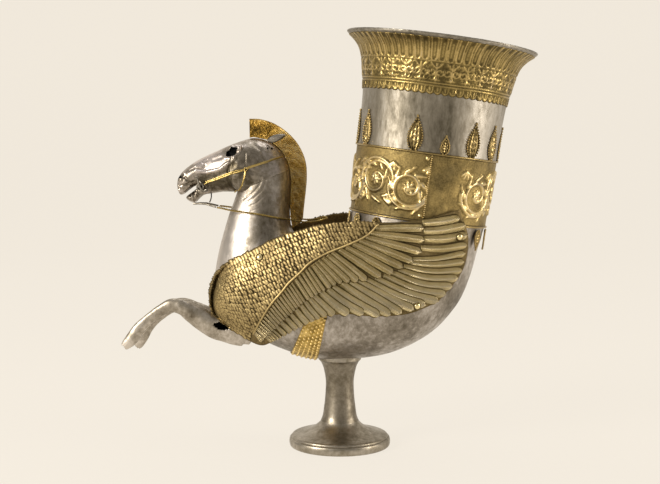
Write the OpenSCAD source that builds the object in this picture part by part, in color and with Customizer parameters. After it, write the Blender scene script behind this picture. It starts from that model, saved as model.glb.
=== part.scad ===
// Winged-horse rhyton: a leaning horn on a turned foot, bent into the forepart of a winged horse.
// Millimetres. Origin: centre of the foot on the ground. +Z up, the horse faces -X, its left is -Y.

/* [Sheet metal] */
// Thickness of the silver sheet of horn, belly, chest and neck
sheet = 1.2; // [0.8:0.1:2.4]
// Thickness of the gilt wings
wing_t = 1; // [0.6:0.1:2]
// Thickness of the gilt collar, frieze and palmettes
gilt_t = 0.7; // [0.4:0.1:1.2]

/* [Horn] */
// Lean of the horn's axis towards its back, degrees
lean = 7.6; // [0:0.2:15]
// Height of the gilt frieze
frieze_h = 97; // [60:1:120]
// Start of the gilt rim collar above the frieze's lower edge
collar_s = 183; // [150:1:220]
// Diameter of the wires that edge the frieze
edge_wire_d = 3; // [1.5:0.1:5]
// Places round the horn for palmettes
palmette_n = 15; // [7:1:24]
// Height of a standing palmette
palmette_h = 53; // [30:1:75]
// Width of a standing palmette
palmette_w = 23; // [12:1:36]

/* [Foot] */
// Radius of the foot on the ground
foot_r = 77.5; // [60:0.5:95]
// Height of the foot's edge ring
foot_edge = 13; // [8:0.5:20]
// Radius of the stem at its waist
waist_r = 21.3; // [14:0.1:28]

/* [Bridle] */
// Diameter of the twisted rein
rein_d = 2.6; // [1.5:0.1:4]
// Diameter of one strand of a cheek strap
strap_d = 1.6; // [1:0.1:3]

/* [Hidden] */
$fn = 72;
gap = 0.06;
SILVER = [0.66, 0.64, 0.60];
DARK = [0.30, 0.28, 0.25];
GILT = [0.72, 0.57, 0.27];

// Horn: outer radius at a height s up its axis, measured from the frieze's lower edge
HORN_FOOT = [118, 0, 350.9];
SOCKET = 8;
HORN = [
    [8, 102], [42, 103], [72, 104.4], [97, 105.2], [142, 106.2], [183, 108.6], [207, 112],
    [225, 115.5], [235, 118.5], [243, 122.5], [250, 128.4], [255, 134], [259, 139.6], [262, 143]
];

// Belly, chest and neck: elliptical sections that fan from the horn to the throat.
// Each is [x, z of the inner edge, x, z of the outer edge, half width in Y].
BODY = [
    [18.72, 372.21, 219.38, 345.43, 101.3], [17.69, 364.28, 218.31, 337.52, 101.2],
    [16.5, 350, 213, 318, 101], [15.5, 338, 206, 293, 100.5], [14, 327, 197.5, 262, 100],
    [12, 318, 186, 232, 99.5], [10, 311, 169, 206, 98.5], [8, 307, 146, 181, 97.5],
    [6, 304.5, 117, 161.5, 96.5], [4, 303, 84, 146.5, 95], [2, 302.3, 50, 137.9, 93.5],
    [0, 302, 14, 134.7, 92], [-2, 302, -22, 134.2, 90.5], [-4, 302, -55, 139, 89],
    [-20, 303, -88, 150, 87.5], [-35, 305, -122, 164, 85.5], [-48, 309, -155, 178, 82],
    [-58, 315, -180, 200, 77], [-66, 322, -191, 222.5, 71], [-71, 330, -193, 243, 64.5],
    [-74, 339, -190.3, 262, 58], [-75.5, 350, -186, 288, 51], [-76, 362, -180.5, 312, 45.5],
    [-75.5, 376, -174, 335, 41], [-74.5, 391, -167.5, 356, 37.5], [-74.5, 407, -161, 373, 35],
    [-76, 423, -155, 389, 33.5], [-80, 438, -149, 404, 32]
];
ELBOW_FROM = 0;
ELBOW_TO = 13;
NECK_TO = 26;
ROUND = 40;

// Head: the same kind of section from the throat to the nose, then the jaw from cheek to chin
HEAD = [
    [-76, 423, -155, 389, 33.5], [-83, 442, -158, 389, 33], [-94, 456, -163, 389, 33],
    [-110, 466, -169, 389, 33.5], [-130, 470, -176, 389, 33.5], [-149.6, 465.1, -184, 388, 32],
    [-167.5, 458.5, -193, 386.5, 28.5], [-185, 450.7, -202, 385.5, 25],
    [-200, 444, -209, 387, 23], [-214, 437, -216, 398, 22], [-227, 428.5, -226, 393, 21.5],
    [-238, 419, -235, 386, 19], [-244.5, 409, -241, 384.5, 15], [-246, 402, -243.5, 388, 9]
];
JAW = [
    [-190, 404, -194, 387.2, 20], [-203, 401, -205, 384.5, 19], [-213, 396.5, -212.5, 378.5, 17],
    [-221, 390.5, -219.5, 372.5, 15.5], [-228, 385.5, -227, 374.5, 12.5],
    [-232.5, 381.8, -231.5, 377.5, 7]
];

// Wing: four rows of [x, y, z] from the top edge to the lower edge, eleven columns from the breast back
WING = [
    [[-191.8, 17, 238.5], [-191.8, 21, 230], [-191, 26, 221], [-187.5, 32, 210]],
    [[-182, 35, 267], [-184.5, 43, 240], [-183.5, 47, 220], [-180, 46, 203]],
    [[-158.5, 55, 289], [-159, 67, 250], [-157.5, 66, 212], [-151, 57, 181]],
    [[-124.5, 65, 307], [-124, 78, 258], [-122, 76, 208], [-120, 60, 165]],
    [[-90, 70, 325], [-90, 85, 272], [-92, 87, 222], [-100, 69, 171]],
    [[-50, 82, 339], [-52, 91, 290], [-58, 91, 241], [-72, 81, 190]],
    [[-12, 101, 348], [-14, 97, 302], [-22, 95, 255], [-40, 92.5, 208]],
    [[30, 108, 351], [26, 103, 306], [16, 99.5, 261], [5, 97, 216]],
    [[75, 108, 350], [71, 105.5, 304], [62, 103, 258], [50, 99.5, 213]],
    [[122, 108.5, 355], [120, 107, 309], [110, 104.5, 262], [98, 99, 217]],
    [[171, 97, 368], [185, 87, 324], [177, 79, 276], [142, 85, 232]]
];

// Foreleg: [x, z, half height, half width] from the shoulder to the broken hoof. The right one is
// bent down about its shoulder and broken off a little shorter.
LEG_Y = 32;
SHOULDER = [-150, 183];
RIGHT_DROP = 4.7;
RIGHT_END = 16.2;
LEG = [
    [-121, 168, 8, 6], [-128, 173, 16, 10], [-138, 179.7, 22.5, 12.5], [-152.8, 183.4, 24.5, 13],
    [-170.8, 185.7, 22, 12.5], [-187.5, 188.5, 19, 11.5], [-205.1, 197.7, 17, 11],
    [-220.7, 207.3, 14.8, 10.5], [-233.4, 215.9, 12, 10], [-244.3, 219.4, 10.4, 9.5],
    [-255.2, 218.9, 9.6, 9], [-269.3, 211.7, 8.3, 7.5], [-286.7, 199.3, 7.6, 7],
    [-299.9, 186.8, 8.9, 8], [-307.2, 176.6, 9.8, 8.5], [-313, 169, 9.6, 8.5],
    [-319.5, 162.2, 8.2, 7], [-326, 156, 5.2, 4.5]
];

// Mane: [x, z of the root, x, z of the crest]
MANE = [
    [-136, 470.6, -136.5, 499], [-124, 471.6, -120, 498.3], [-110.5, 467.6, -100.5, 492.4],
    [-98, 460.3, -83, 481.6], [-88.2, 450.5, -67, 466], [-80.8, 438.5, -56.5, 448.4],
    [-75.7, 424, -51, 430.4], [-73.6, 407, -50, 410], [-73.6, 391, -51.5, 390.5],
    [-74.6, 376, -53.5, 373], [-75.1, 362, -55, 359], [-74.6, 350, -56, 349],
    [-73.4, 341.5, -57.3, 345.5], [-71.8, 334.5, -58.2, 343.3]
];

// Curves and surfaces
function mix4(a, b, c, d, t) =
    0.5 * (2*b + (c - a)*t + (2*a - 5*b + 4*c - d)*t*t + (3*b - a - 3*c + d)*t*t*t);
function curve(p, t) =
    let (n = len(p) - 1, i = max(0, min(n - 1, floor(t))), b = p[i], c = p[i + 1])
    let (a = i > 0 ? p[i - 1] : 2*b - c, d = i + 2 <= n ? p[i + 2] : 2*c - b)
    mix4(a, b, c, d, t - i);
function unit(v) = v / norm(v);
function reverse(v) = [for (i = [len(v) - 1 : -1 : 0]) v[i]];
function joined(v) = [for (a = v) each a];
function steps(a, b, n) = [for (i = [0 : n]) a + (b - a) * i / n];

// Point of a section list at station s, angle t from the outer edge, raised off the surface
function on(list, s, t, raise = 0) =
    let (k = curve(list, s), hx = (k[2] - k[0]) / 2, hz = (k[3] - k[1]) / 2, a = norm([hx, hz]))
    let (f = (a + raise) / a * cos(t))
    [(k[0] + k[2]) / 2 + hx*f, (k[4] + raise) * sin(t), (k[1] + k[3]) / 2 + hz*f];
function ring(list, s, raise, m) = [for (j = [0 : m - 1]) on(list, s, 360 * j / m, raise)];
ELBOW = concat([ELBOW_FROM], steps(1, ELBOW_TO, 18));
CHEST = steps(ELBOW_TO, NECK_TO, 20);
function wing_at(u, v) = curve([for (c = WING) curve(c, v * 3)], u * (len(WING) - 1));
function wing_normal(u, v) =
    let (du = wing_at(min(u + 0.01, 1), v) - wing_at(max(u - 0.01, 0), v))
    let (dv = wing_at(u, min(v + 0.02, 1)) - wing_at(u, max(v - 0.02, 0)))
    unit(cross(du, dv));

// Faces of a skin through n rings of m points; a closed skin also joins the last ring to the first
function skin(n, m, closed) = [
    for (i = [0 : n - (closed ? 1 : 2)], j = [0 : m - 1])
        let (k = (j + 1) % m, a = i*m, b = ((i + 1) % n) * m)
        each [[a + j, a + k, b + k], [a + j, b + k, b + j]]
];

module tube_wall(outer, inner) {
    rings = concat(outer, reverse(inner));
    polyhedron(joined(rings), skin(len(rings), len(rings[0]), true), convexity = 6);
}

module loft(rings) {
    n = len(rings);
    m = len(rings[0]);
    first = [for (j = [1 : m - 2]) [0, j + 1, j]];
    last = [for (j = [1 : m - 2]) [(n - 1)*m, (n - 1)*m + j, (n - 1)*m + j + 1]];
    polyhedron(joined(rings), concat(skin(n, m, false), first, last), convexity = 6);
}

// A bent sheet between two equal grids of points
module bent_sheet(front, back) {
    n = len(front);
    w = len(front[0]);
    m = 2 * w;
    rings = [for (i = [0 : n - 1]) concat(front[i], reverse(back[i]))];
    first = [for (j = [0 : w - 2]) each [[j, m - 2 - j, j + 1], [j, m - 1 - j, m - 2 - j]]];
    last = [for (f = first) [(n - 1)*m + f[0], (n - 1)*m + f[2], (n - 1)*m + f[1]]];
    polyhedron(joined(rings), concat(skin(n, m, false), first, last), convexity = 6);
}

// A round wire of diameter d along a list of points, m sided
module wire(path, d, m = 8) {
    n = len(path);
    loft([for (i = [0 : n - 1])
        let (t = unit(path[min(i + 1, n - 1)] - path[max(i - 1, 0)]))
        let (a = unit(cross(t, abs(t.z) > 0.9 ? [1, 0, 0] : [0, 0, 1])), b = cross(t, a))
        [for (j = [0 : m - 1]) path[i] + d/2 * (a * cos(360*j/m) - b * sin(360*j/m))]]);
}

// Joins facets that meet into one skin
module one_skin() resize([0, 0, 0]) children();

// Turns a child's Z axis to a direction at a point
module aim(p, n) translate(p) rotate([0, acos(n.z / norm(n)), atan2(n.y, n.x)]) children();

// Domed rivet: head radius r standing on z = 0, shank below it
module rivet(r, shank) {
    rotate_extrude() intersection() {
        translate([0, -r * 0.75]) circle(r * 1.25);
        square([r * 1.25, r]);
    }
    translate([0, 0, -shank]) cylinder(r = r * 0.36, h = shank + 0.1);
}

module horn_frame() translate(HORN_FOOT) rotate([0, lean, 0]) children();
function horn_r(s) = lookup(s, HORN);

// Ring of sheet that lies on the horn between two heights
module horn_skin(s0, s1, lift, t) {
    mid = [for (k = HORN) if (k[0] > s0 && k[0] < s1) k[0]];
    s = concat([s0], mid, [s1]);
    out = [for (a = s) [horn_r(a) + lift + t, a]];
    in = [for (a = reverse(s)) [horn_r(a) + lift, a]];
    rotate_extrude() polygon(concat(out, in));
}

// Horn ------------------------------------------------------------------

module horn_beaker() color(SILVER) horn_frame()
    horn_skin(SOCKET, HORN[len(HORN) - 1][0], -sheet, sheet);

module rim_bead() color(SILVER) horn_frame()
    translate([0, 0, HORN[len(HORN) - 1][0] + 1.1 + gap]) rotate_extrude()
        translate([143 - sheet/2, 0]) circle(1.1, $fn = 24);

module rim_collar() color(GILT) horn_frame() horn_skin(collar_s, 258, gap, gilt_t * 0.75);

module frieze_band() color(GILT) horn_frame() horn_skin(SOCKET * 0.1, frieze_h - 1, gap, gilt_t);

module horn_ring(s, r) color(GILT) horn_frame() translate([0, 0, s]) rotate_extrude()
    translate([r + gap + edge_wire_d / 2, 0]) circle(d = edge_wire_d, $fn = 24);
module frieze_upper_wire() horn_ring(frieze_h + 0.6, horn_r(frieze_h));
module frieze_lower_wire() horn_ring(-0.9, horn_r(0));

module frieze_seam_wire() color(GILT) horn_frame() {
    low = [0, -horn_r(1) - gilt_t - 1.3, 1.6];
    top = [0, -horn_r(frieze_h) - gilt_t - 1.3, frieze_h - 1.8];
    aim(low, top - low) cylinder(d = 1.8, h = norm(top - low), $fn = 24);
}

SEAM_RIVETS = [[-2.6, 7.5], [-2.8, frieze_h - 6.5]];
module frieze_rivets() color(GILT) horn_frame() for (k = SEAM_RIVETS)
    rotate([0, 0, k[0]]) translate([0, -horn_r(k[1]) - gilt_t - 2*gap, k[1]]) rotate([90, 0, 0])
        rivet(3.4, 0);

// Pointed leaf outline standing on y = 0, round below
module leaf(w, h) {
    r = w / 2;
    k = h - r;
    big = (k*k + r*r) / (2*r);
    translate([0, r]) circle(r);
    intersection() {
        translate([big - r, r]) circle(big);
        translate([r - big, r]) circle(big);
        translate([-r, r]) square([w, k]);
    }
}

// Places counted round the horn from the seam towards the back, one pitch apart
PITCH = 360 / palmette_n;
FIRST = 9;
BARE = -2;
BROKEN = 0;
module palmettes_upper() color(GILT) horn_frame() intersection() {
    horn_skin(frieze_h + edge_wire_d/2 + 0.8, frieze_h + palmette_h + 4, gap, gilt_t);
    for (k = [BARE + 1 : palmette_n - 3])
        rotate([0, 0, FIRST + k * PITCH])
            translate([0, -90, frieze_h + edge_wire_d/2 + 1]) rotate([90, 0, 0])
                linear_extrude(40) leaf(k == BROKEN ? palmette_w * 0.55 : palmette_w,
                    k == BROKEN ? palmette_h * 0.55 : palmette_h);
}

module palmettes_lower() color(GILT) horn_frame() intersection() {
    rotate_extrude() translate([horn_r(0) + 4 * gap, -40]) square([gilt_t, 37]);
    for (k = [0 : palmette_n - 1])
        rotate([0, 0, FIRST + k * PITCH]) translate([0, -90, -3.2]) rotate([-90, 0, 180])
            linear_extrude(40) leaf(palmette_w * 0.72, palmette_h * 0.6);
}

// Belly -----------------------------------------------------------------

WING_RIVETS = [[0.321, 0.1], [0.98, 0.28], [0.92, 0.93]];
module rivet_holes(side) for (k = WING_RIVETS) {
    n = wing_normal(k[0], k[1]);
    mirror([0, side < 0 ? 1 : 0, 0]) aim(wing_at(k[0], k[1]), n)
        translate([0, 0, -16]) cylinder(r = 1.6, h = 20, $fn = 16);
}

module horn_elbow() color(SILVER) one_skin() difference() {
    tube_wall([for (a = ELBOW) ring(BODY, a, 0, ROUND)], [for (a = ELBOW) ring(BODY, a, -sheet, ROUND)]);
    rivet_holes(1);
    rivet_holes(-1);
}

module bulkhead() color(SILVER) one_skin() difference() {
    loft([for (a = [ELBOW_TO - 0.08, ELBOW_TO - 0.02]) ring(BODY, a, -sheet - 0.3, ROUND)]);
    tube_bore(TUBE_R + gap);
}

TUBE = [[-52, 0, 160], [-75, 0, 172], [-110, 0, 187], [-150, 0, 196], [-197, 0, 203]];
TUBE_R = 5;
module tube_bore(r) wire([for (a = steps(0, 4, 8)) curve(TUBE, a)], 2 * r, 16);
module pour_tube() color(SILVER) {
    path = [for (a = steps(0.1, 3.95, 8)) curve(TUBE, a)];
    tube_wall(tube_rings(path, TUBE_R), tube_rings(path, TUBE_R - 1));
}
function tube_rings(path, r) = [for (i = [0 : len(path) - 1])
    let (t = unit(path[min(i + 1, len(path) - 1)] - path[max(i - 1, 0)]), up = [-t.z, 0, t.x])
    [for (j = [0 : 15]) path[i] + r * (up * cos(22.5*j) + [0, 1, 0] * sin(22.5*j))]];
module spout_lip() color(SILVER) aim(TUBE[4] + [0.6, 0, 0], TUBE[4] - TUBE[3]) rotate_extrude()
    translate([TUBE_R + gap + 1.1, 0]) circle(1.1, $fn = 24);

GIRDLE = [12.38, 13.6];
module girdle_band() color(GILT) {
    s = steps(GIRDLE[0], GIRDLE[1], 4);
    tube_wall([for (a = s) ring(BODY, a, 0.3 + gilt_t, ROUND)], [for (a = s) ring(BODY, a, 0.3, ROUND)]);
}

GIRDLE_STUD = [12.46, 83];
module girdle_rivets() color(DARK) for (side = [1, -1]) {
    p = on(BODY, GIRDLE_STUD[0], side * GIRDLE_STUD[1], 0.45 + gilt_t);
    q = on(BODY, GIRDLE_STUD[0], side * GIRDLE_STUD[1], 5);
    aim(p, q - p) rivet(2.6, 0);
}

// Forepart --------------------------------------------------------------

module protome_shell() color(SILVER) one_skin() difference() {
    tube_wall([for (a = CHEST) ring(BODY, a, 0, ROUND)], [for (a = CHEST) ring(BODY, a, -sheet, ROUND)]);
    rivet_holes(1);
    rivet_holes(-1);
    tube_bore(TUBE_R + gap);
}

module head_shell() color(SILVER) one_skin() difference() {
    union() {
        loft([for (a = steps(0, 13, 20)) ring(HEAD, a, 0, 24)]);
        loft([for (a = steps(0, 5, 8)) ring(JAW, a, 0, 18)]);
    }
    loft([for (a = concat([-0.2], steps(0, 12, 14))) ring(HEAD, a, -sheet, 24)]);
    loft([for (a = steps(-0.5, 4, 5)) ring(JAW, a, -sheet, 18)]);
    for (side = [0, 1]) mirror([0, side, 0]) {
        translate([0, -8, 0]) rotate([90, 0, 0]) linear_extrude(30) polygon(EYE);
        translate([-241.5, -5, 410.5]) rotate([90, 0, 0]) cylinder(r = 2.6, h = 20, $fn = 16);
    }
    translate([0, 40, 0] + BIT) rotate([90, 0, 0]) cylinder(r = 2, h = 80, $fn = 20);
}
EYE = [[-170.5, 443.3], [-169.5, 453.5], [-160.4, 457.6], [-151.2, 455.6], [-155.9, 447.2],
    [-161.4, 443]];

// The left one; the right one is its mirror
module ear() {
    root = [-108.5, -13.6, 465.6];
    tip = [-82, -16, 474.5];
    out = [for (i = [0 : 8]) let (u = i / 8, w = 4.6 * sin(180 * pow(u*0.87 + 0.07, 0.8)))
        [for (j = [-2 : 2]) let (v = j / 2)
            root + u * (tip - root) + [-0.34*v*w, -2.2 + 1.6*v*v, 0.94*v*w]]];
    bent_sheet(out, [for (a = out) [for (p = a) p + [0, 1, 0]]]);
}
module ear_left() color(SILVER) ear();
module ear_right() color(SILVER) mirror([0, 1, 0]) ear();

module mane_crest() color(GILT) {
    arc = [[0, 3.4], [0.35, 3.2], [0.7, 2.7], [0.93, 1.8], [1, 0.5]];
    fold = concat([for (a = arc) [a[0], -a[1]]], [for (a = reverse(arc)) a]);
    s = steps(0, len(MANE) - 1, 26);
    bent_sheet([for (a = s) mane_row(a, fold, 0)], [for (a = s) mane_row(a, fold, 0.9)]);
}
function mane_row(s, fold, t) =
    let (k = curve(MANE, s), root = [k[0], 0, k[1]], up = [k[2] - k[0], 0, k[3] - k[1]])
    [for (f = fold) root + up * f[0] * (1 - t / norm(up))
        + [0, f[1] - sign(f[1]) * min(t, abs(f[1]) * 0.8), 0]];

function leg_at(s, a, r, drop) =
    let (k = curve(LEG, s), n = len(LEG) - 1)
    let (t = unit(curve(LEG, min(s + 0.1, n)) - curve(LEG, max(s - 0.1, 0))), h = norm([t[0], t[1]]))
    let (x = k[0] - t[1]/h * (k[2] + r) * cos(a) - SHOULDER.x)
    let (z = k[1] + t[0]/h * (k[2] + r) * cos(a) - SHOULDER.y)
    [SHOULDER.x + x * cos(drop) - z * sin(drop), -LEG_Y + (k[3] + r) * sin(a),
        SHOULDER.y + x * sin(drop) + z * cos(drop)];

// How far a point lies outside the chest: 1 on its surface, less inside
function beside(s, p) = let (k = curve(BODY, s))
    (k[2] - k[0]) * (p.z - k[1]) - (k[3] - k[1]) * (p.x - k[0]);
function station(p, lo, hi, n) = n == 0 ? (lo + hi) / 2 :
    let (m = (lo + hi) / 2)
    beside(m, p) * beside(lo, p) > 0 ? station(p, m, hi, n - 1) : station(p, lo, m, n - 1);
function depth(p) =
    let (k = curve(BODY, station(p, 12, 24, 14)), h = [k[2] - k[0], k[3] - k[1]] / 2)
    let (c = ([p.x - k[0], p.z - k[1]] - h) * h / (h * h))
    norm([c, p.y / k[4]]);
// Station at which the line of the leg at angle a leaves the chest
function leave(a, lo, hi, n, drop) = n == 0 ? hi :
    let (m = (lo + hi) / 2)
    depth(leg_at(m, a, 0, drop)) < 1.012
        ? leave(a, m, hi, n - 1, drop) : leave(a, lo, m, n - 1, drop);

module foreleg(drop, end) {
    m = 20;
    n = 22;
    from = [for (j = [0 : m - 1]) leave(360 * j / m, 0.5, 9, 9, drop)];
    skin_at = function (i, r) [for (j = [0 : m - 1]) let (b = from[j])
        leg_at(b + (end - b) * i / n, 360 * j / m, r * min(1, 0.4 + i / 4), drop)];
    tube_wall([for (i = [0 : n]) skin_at(i, 0)], [for (i = [0 : n]) skin_at(i, -1.3)]);
}
module foreleg_left() color(SILVER) foreleg(0, len(LEG) - 1);
module foreleg_right() color(SILVER) mirror([0, 1, 0]) foreleg(RIGHT_DROP, RIGHT_END);

module wing() {
    u = steps(0, 1, 36);
    v = steps(0, 1, 9);
    one_skin() difference() {
        bent_sheet([for (a = u) [for (b = v) wing_at(a, b) + wing_t * wing_normal(a, b)]],
            [for (a = u) [for (b = v) wing_at(a, b)]]);
        rivet_holes(1);
    }
}
module wing_right() color(GILT) wing();
module wing_left() color(GILT) mirror([0, 1, 0]) wing();

module wing_rivets() for (k = WING_RIVETS)
    aim(wing_at(k[0], k[1]) + (wing_t + 0.3) * wing_normal(k[0], k[1]), wing_normal(k[0], k[1]))
        rivet(4, 10);
module wing_rivets_right() color(GILT) wing_rivets();
module wing_rivets_left() color(GILT) mirror([0, 1, 0]) wing_rivets();

// Bridle ----------------------------------------------------------------

BIT = [-209, 0, 397.5];
BIT_Y = 26.5;
STUD = [2.83, 87.5];
// Route of the cheek strap on the head: station and angle
STRAP = [[7.5, 66], [6.5, 69.5], [5.5, 72], [4.3, 74.5], [3.35, 80.5], [2.83, 87.5], [2.28, 98.6],
    [1.9, 109.3], [1.53, 123.7], [1.25, 143], [1.12, 156]];
function strap_path(spread) = [for (i = [0 : 0.5 : 10])
    let (k = curve(STRAP, i), a = spread * (1 + 1.1 * pow(1 - i / 10, 3)))
    on(HEAD, k[0], k[1] + a, strap_d / 2 + 0.25)];
module cheek_strap() {
    wire(strap_path(1.7), strap_d, 6);
    wire(strap_path(-1.7), strap_d, 6);
}
module cheek_strap_right() color(GILT) cheek_strap();
module cheek_strap_left() color(GILT) mirror([0, 1, 0]) cheek_strap();

// Route of the throat strap on the head from the stud to the middle of the throat
THROAT = [[2.7, 82], [2.38, 74.7], [1.82, 62.1], [1.1, 46], [0.75, 30], [0.6, 15], [0.6, 0]];
module throat_strap() color(GILT) {
    half = [for (i = [0 : 0.5 : 6]) let (k = curve(THROAT, i)) on(HEAD, k[0], k[1], 1.5)];
    rest = [for (i = [11 : -1 : 0]) [half[i].x, -half[i].y, half[i].z]];
    wire(concat(half, rest), 1.8, 6);
}

module strap_studs() color(GILT) for (side = [1, -1]) {
    p = on(HEAD, STUD[0], side * STUD[1], strap_d + 0.5);
    aim(p, [0, side, 0]) rivet(2.8, 0);
}

module bit_bar() color(DARK) translate([0, BIT_Y - 1.6, 0] + BIT) rotate([90, 0, 0])
    cylinder(r = 1.6, h = 2 * BIT_Y - 3.2, $fn = 24);
module bit_ring(side) color(SILVER) translate([0, side * BIT_Y, 0] + BIT) rotate([90, 0, 0])
    rotate_extrude() translate([4.6, 0]) circle(1.3, $fn = 20);
module bit_ring_left() bit_ring(-1);
module bit_ring_right() bit_ring(1);

// Bent bar outside the ring, the left one
CHEEKPIECE = [[-216.5, 411.5], [-213, 411], [-211.5, 406], [-209.5, 399], [-206.5, 394], [-202.5, 391.5],
    [-199.5, 393.5]];
module cheekpiece(side) color(SILVER)
    wire([for (i = [0 : 0.4 : 6]) let (k = curve(CHEEKPIECE, i)) [k[0], side * (BIT_Y + 3.2), k[1]]], 3, 8);
module cheekpiece_left() cheekpiece(-1);
module cheekpiece_right() cheekpiece(1);

// Route of the rein from the link to the loop on the withers
REIN = [[-184, 21, 366.3], [-176, 26, 365.2], [-164, 33.5, 363], [-149, 40, 361.3], [-130, 43.8, 358.9],
    [-114, 43.5, 356.3], [-99.5, 40, 353.2], [-86.7, 32, 350.4], [-74, 22, 347.7], [-54.4, 14, 344],
    [-37, 8, 344.5], [-24, 4.2, 347.5], [-19.6, 0, 348.6]];
module rein_wire() color(GILT) {
    half = [for (i = [0 : 0.5 : 12]) curve(REIN, i)];
    rest = [for (i = [23 : -1 : 0]) [half[i].x, -half[i].y, half[i].z + 4 * i / 24 * i / 24]];
    wire(concat(half, rest), rein_d, 8);
}

// Flattened link from the chin to the rein's eye, the left one
module rein_link(side) color(SILVER)
    wire([for (k = [[-221.5, 4.6, 370.8], [-213, 9, 371.3], [-203, 13.5, 371], [-194, 17.3, 368.8],
        [-186.2, 20.4, 366.7]]) [k[0], side * k[1], k[2]]], 2.6, 8);
module rein_link_left() rein_link(-1);
module rein_link_right() rein_link(1);

module chin_hook() color(DARK)
    wire([[-194.2, -6, 386.9], [-194, -7.5, 381.5], [-194.9, -8.6, 377.5], [-196.6, -9.5, 373.4]], 1.8, 8);

// Stand -----------------------------------------------------------------

STEM_TOP = 133;
STEM = [[32.4, STEM_TOP], [29, 129], [25.6, 122], [23.2, 112], [waist_r, 94], [22.4, 74], [24, 60],
    [25.8, 47], [28.9, 38]];
DISC = [[34, 32], [42, 26.5], [52, 22], [63, 18.6], [foot_r - 3.5, foot_edge + 2.2]];

// Height of the belly's underside above a point of the ground
UNDER = [for (i = [16 : -0.5 : 8]) let (k = curve(BODY, i)) [k[2], k[3]]];
function belly_z(x, y) = lookup(x, UNDER) + 84.5 * (1 - sqrt(1 - pow(y / 92, 2)));
module saddle_plate() color(SILVER) {
    rim = function (r, top) [for (j = [0 : 47]) let (x = r * cos(7.5*j), y = r * sin(7.5*j))
        [x, y, top ? belly_z(x, y) - 0.2 : STEM_TOP + gap]];
    tube_wall([rim(32.6, true), rim(32.6, false)], [rim(29.6, true), rim(29.6, false)]);
}

module foot_stem() color(SILVER) rotate_extrude() polygon(concat(STEM,
    [for (k = reverse(STEM)) [k[0] - 2, k[1]]]));

module foot_disc() color(SILVER) rotate_extrude() polygon(concat([[26.9, 37.9], [28.9, 37.9]], DISC,
    [[foot_r - 3.5, foot_edge + 0.1]], [for (k = reverse(DISC)) [k[0] - 0.6, k[1] - 2.1]], [[26.9, 35.6]]));

module foot_ring() color(SILVER) rotate_extrude() polygon([
    [foot_r - 9, foot_edge], [foot_r - 1.8, foot_edge], [foot_r - 0.4, foot_edge - 2.5],
    [foot_r, foot_edge * 0.55], [foot_r - 0.5, 2.2], [foot_r - 2, 0], [foot_r - 7, 0], [foot_r - 8.2, 3]
]);

horn_beaker();
rim_bead();
rim_collar();
frieze_band();
frieze_upper_wire();
frieze_lower_wire();
frieze_seam_wire();
frieze_rivets();
palmettes_upper();
palmettes_lower();
horn_elbow();
bulkhead();
pour_tube();
spout_lip();
girdle_band();
girdle_rivets();
protome_shell();
head_shell();
ear_left();
ear_right();
mane_crest();
foreleg_left();
foreleg_right();
wing_left();
wing_right();
wing_rivets_left();
wing_rivets_right();
cheek_strap_left();
cheek_strap_right();
throat_strap();
strap_studs();
bit_bar();
bit_ring_left();
bit_ring_right();
cheekpiece_left();
cheekpiece_right();
rein_wire();
rein_link_left();
rein_link_right();
chin_hook();
saddle_plate();
foot_stem();
foot_disc();
foot_ring();
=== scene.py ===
import math

import bmesh
import bpy
import numpy as np
from mathutils import Matrix, Vector, noise
from mathutils.bvhtree import BVHTree


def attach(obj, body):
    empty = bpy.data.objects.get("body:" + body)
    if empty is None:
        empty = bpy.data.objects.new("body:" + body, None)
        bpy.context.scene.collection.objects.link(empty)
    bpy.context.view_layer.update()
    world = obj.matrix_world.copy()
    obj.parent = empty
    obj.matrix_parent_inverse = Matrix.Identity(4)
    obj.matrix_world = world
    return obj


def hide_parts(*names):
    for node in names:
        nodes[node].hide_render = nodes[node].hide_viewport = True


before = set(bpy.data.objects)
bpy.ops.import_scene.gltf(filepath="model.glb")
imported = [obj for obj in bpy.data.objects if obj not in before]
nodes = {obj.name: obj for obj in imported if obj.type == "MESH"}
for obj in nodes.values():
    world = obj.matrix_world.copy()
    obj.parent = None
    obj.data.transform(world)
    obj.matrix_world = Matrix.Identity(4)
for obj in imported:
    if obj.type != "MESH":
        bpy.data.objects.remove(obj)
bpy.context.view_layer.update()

scene = bpy.context.scene


# ---- Camera and room ---------------------------------------------------------------
# The photograph looks at the horse's left side from a little above the frieze, from 1.9 m.
# The room is a swept sheet of warm white paper under three soft boxes.
camera = bpy.data.objects.new("camera", bpy.data.cameras.new("camera"))
camera.data.sensor_width = 36
camera.data.lens = 66.63
camera.data.clip_end = 50
camera.location = (-0.015, -1.850, 0.471)
camera.rotation_euler = (math.radians(85.103), 0, 0)
scene.collection.objects.link(camera)
scene.camera = camera


def linear(colour):
    """An sRGB hex colour as linear red, green, blue and alpha."""
    parts = [int(colour[i:i + 2], 16) / 255 for i in (1, 3, 5)]
    return tuple(p / 12.92 if p <= 0.04045 else ((p + 0.055) / 1.055) ** 2.4 for p in parts) + (1.0,)


def add(tree, kind, inputs=None, **settings):
    """One shader node, with its settings, and its inputs set to values or linked to sockets."""
    node = tree.nodes.new(kind)
    for key, value in settings.items():
        setattr(node, key, value)
    for key, value in (inputs or {}).items():
        if isinstance(value, bpy.types.NodeSocket):
            tree.links.new(value, node.inputs[key])
        else:
            node.inputs[key].default_value = value
    return node


def new_material(name):
    material = bpy.data.materials.new(name)
    material.use_nodes = True
    material.node_tree.nodes.clear()
    return material, material.node_tree


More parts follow.
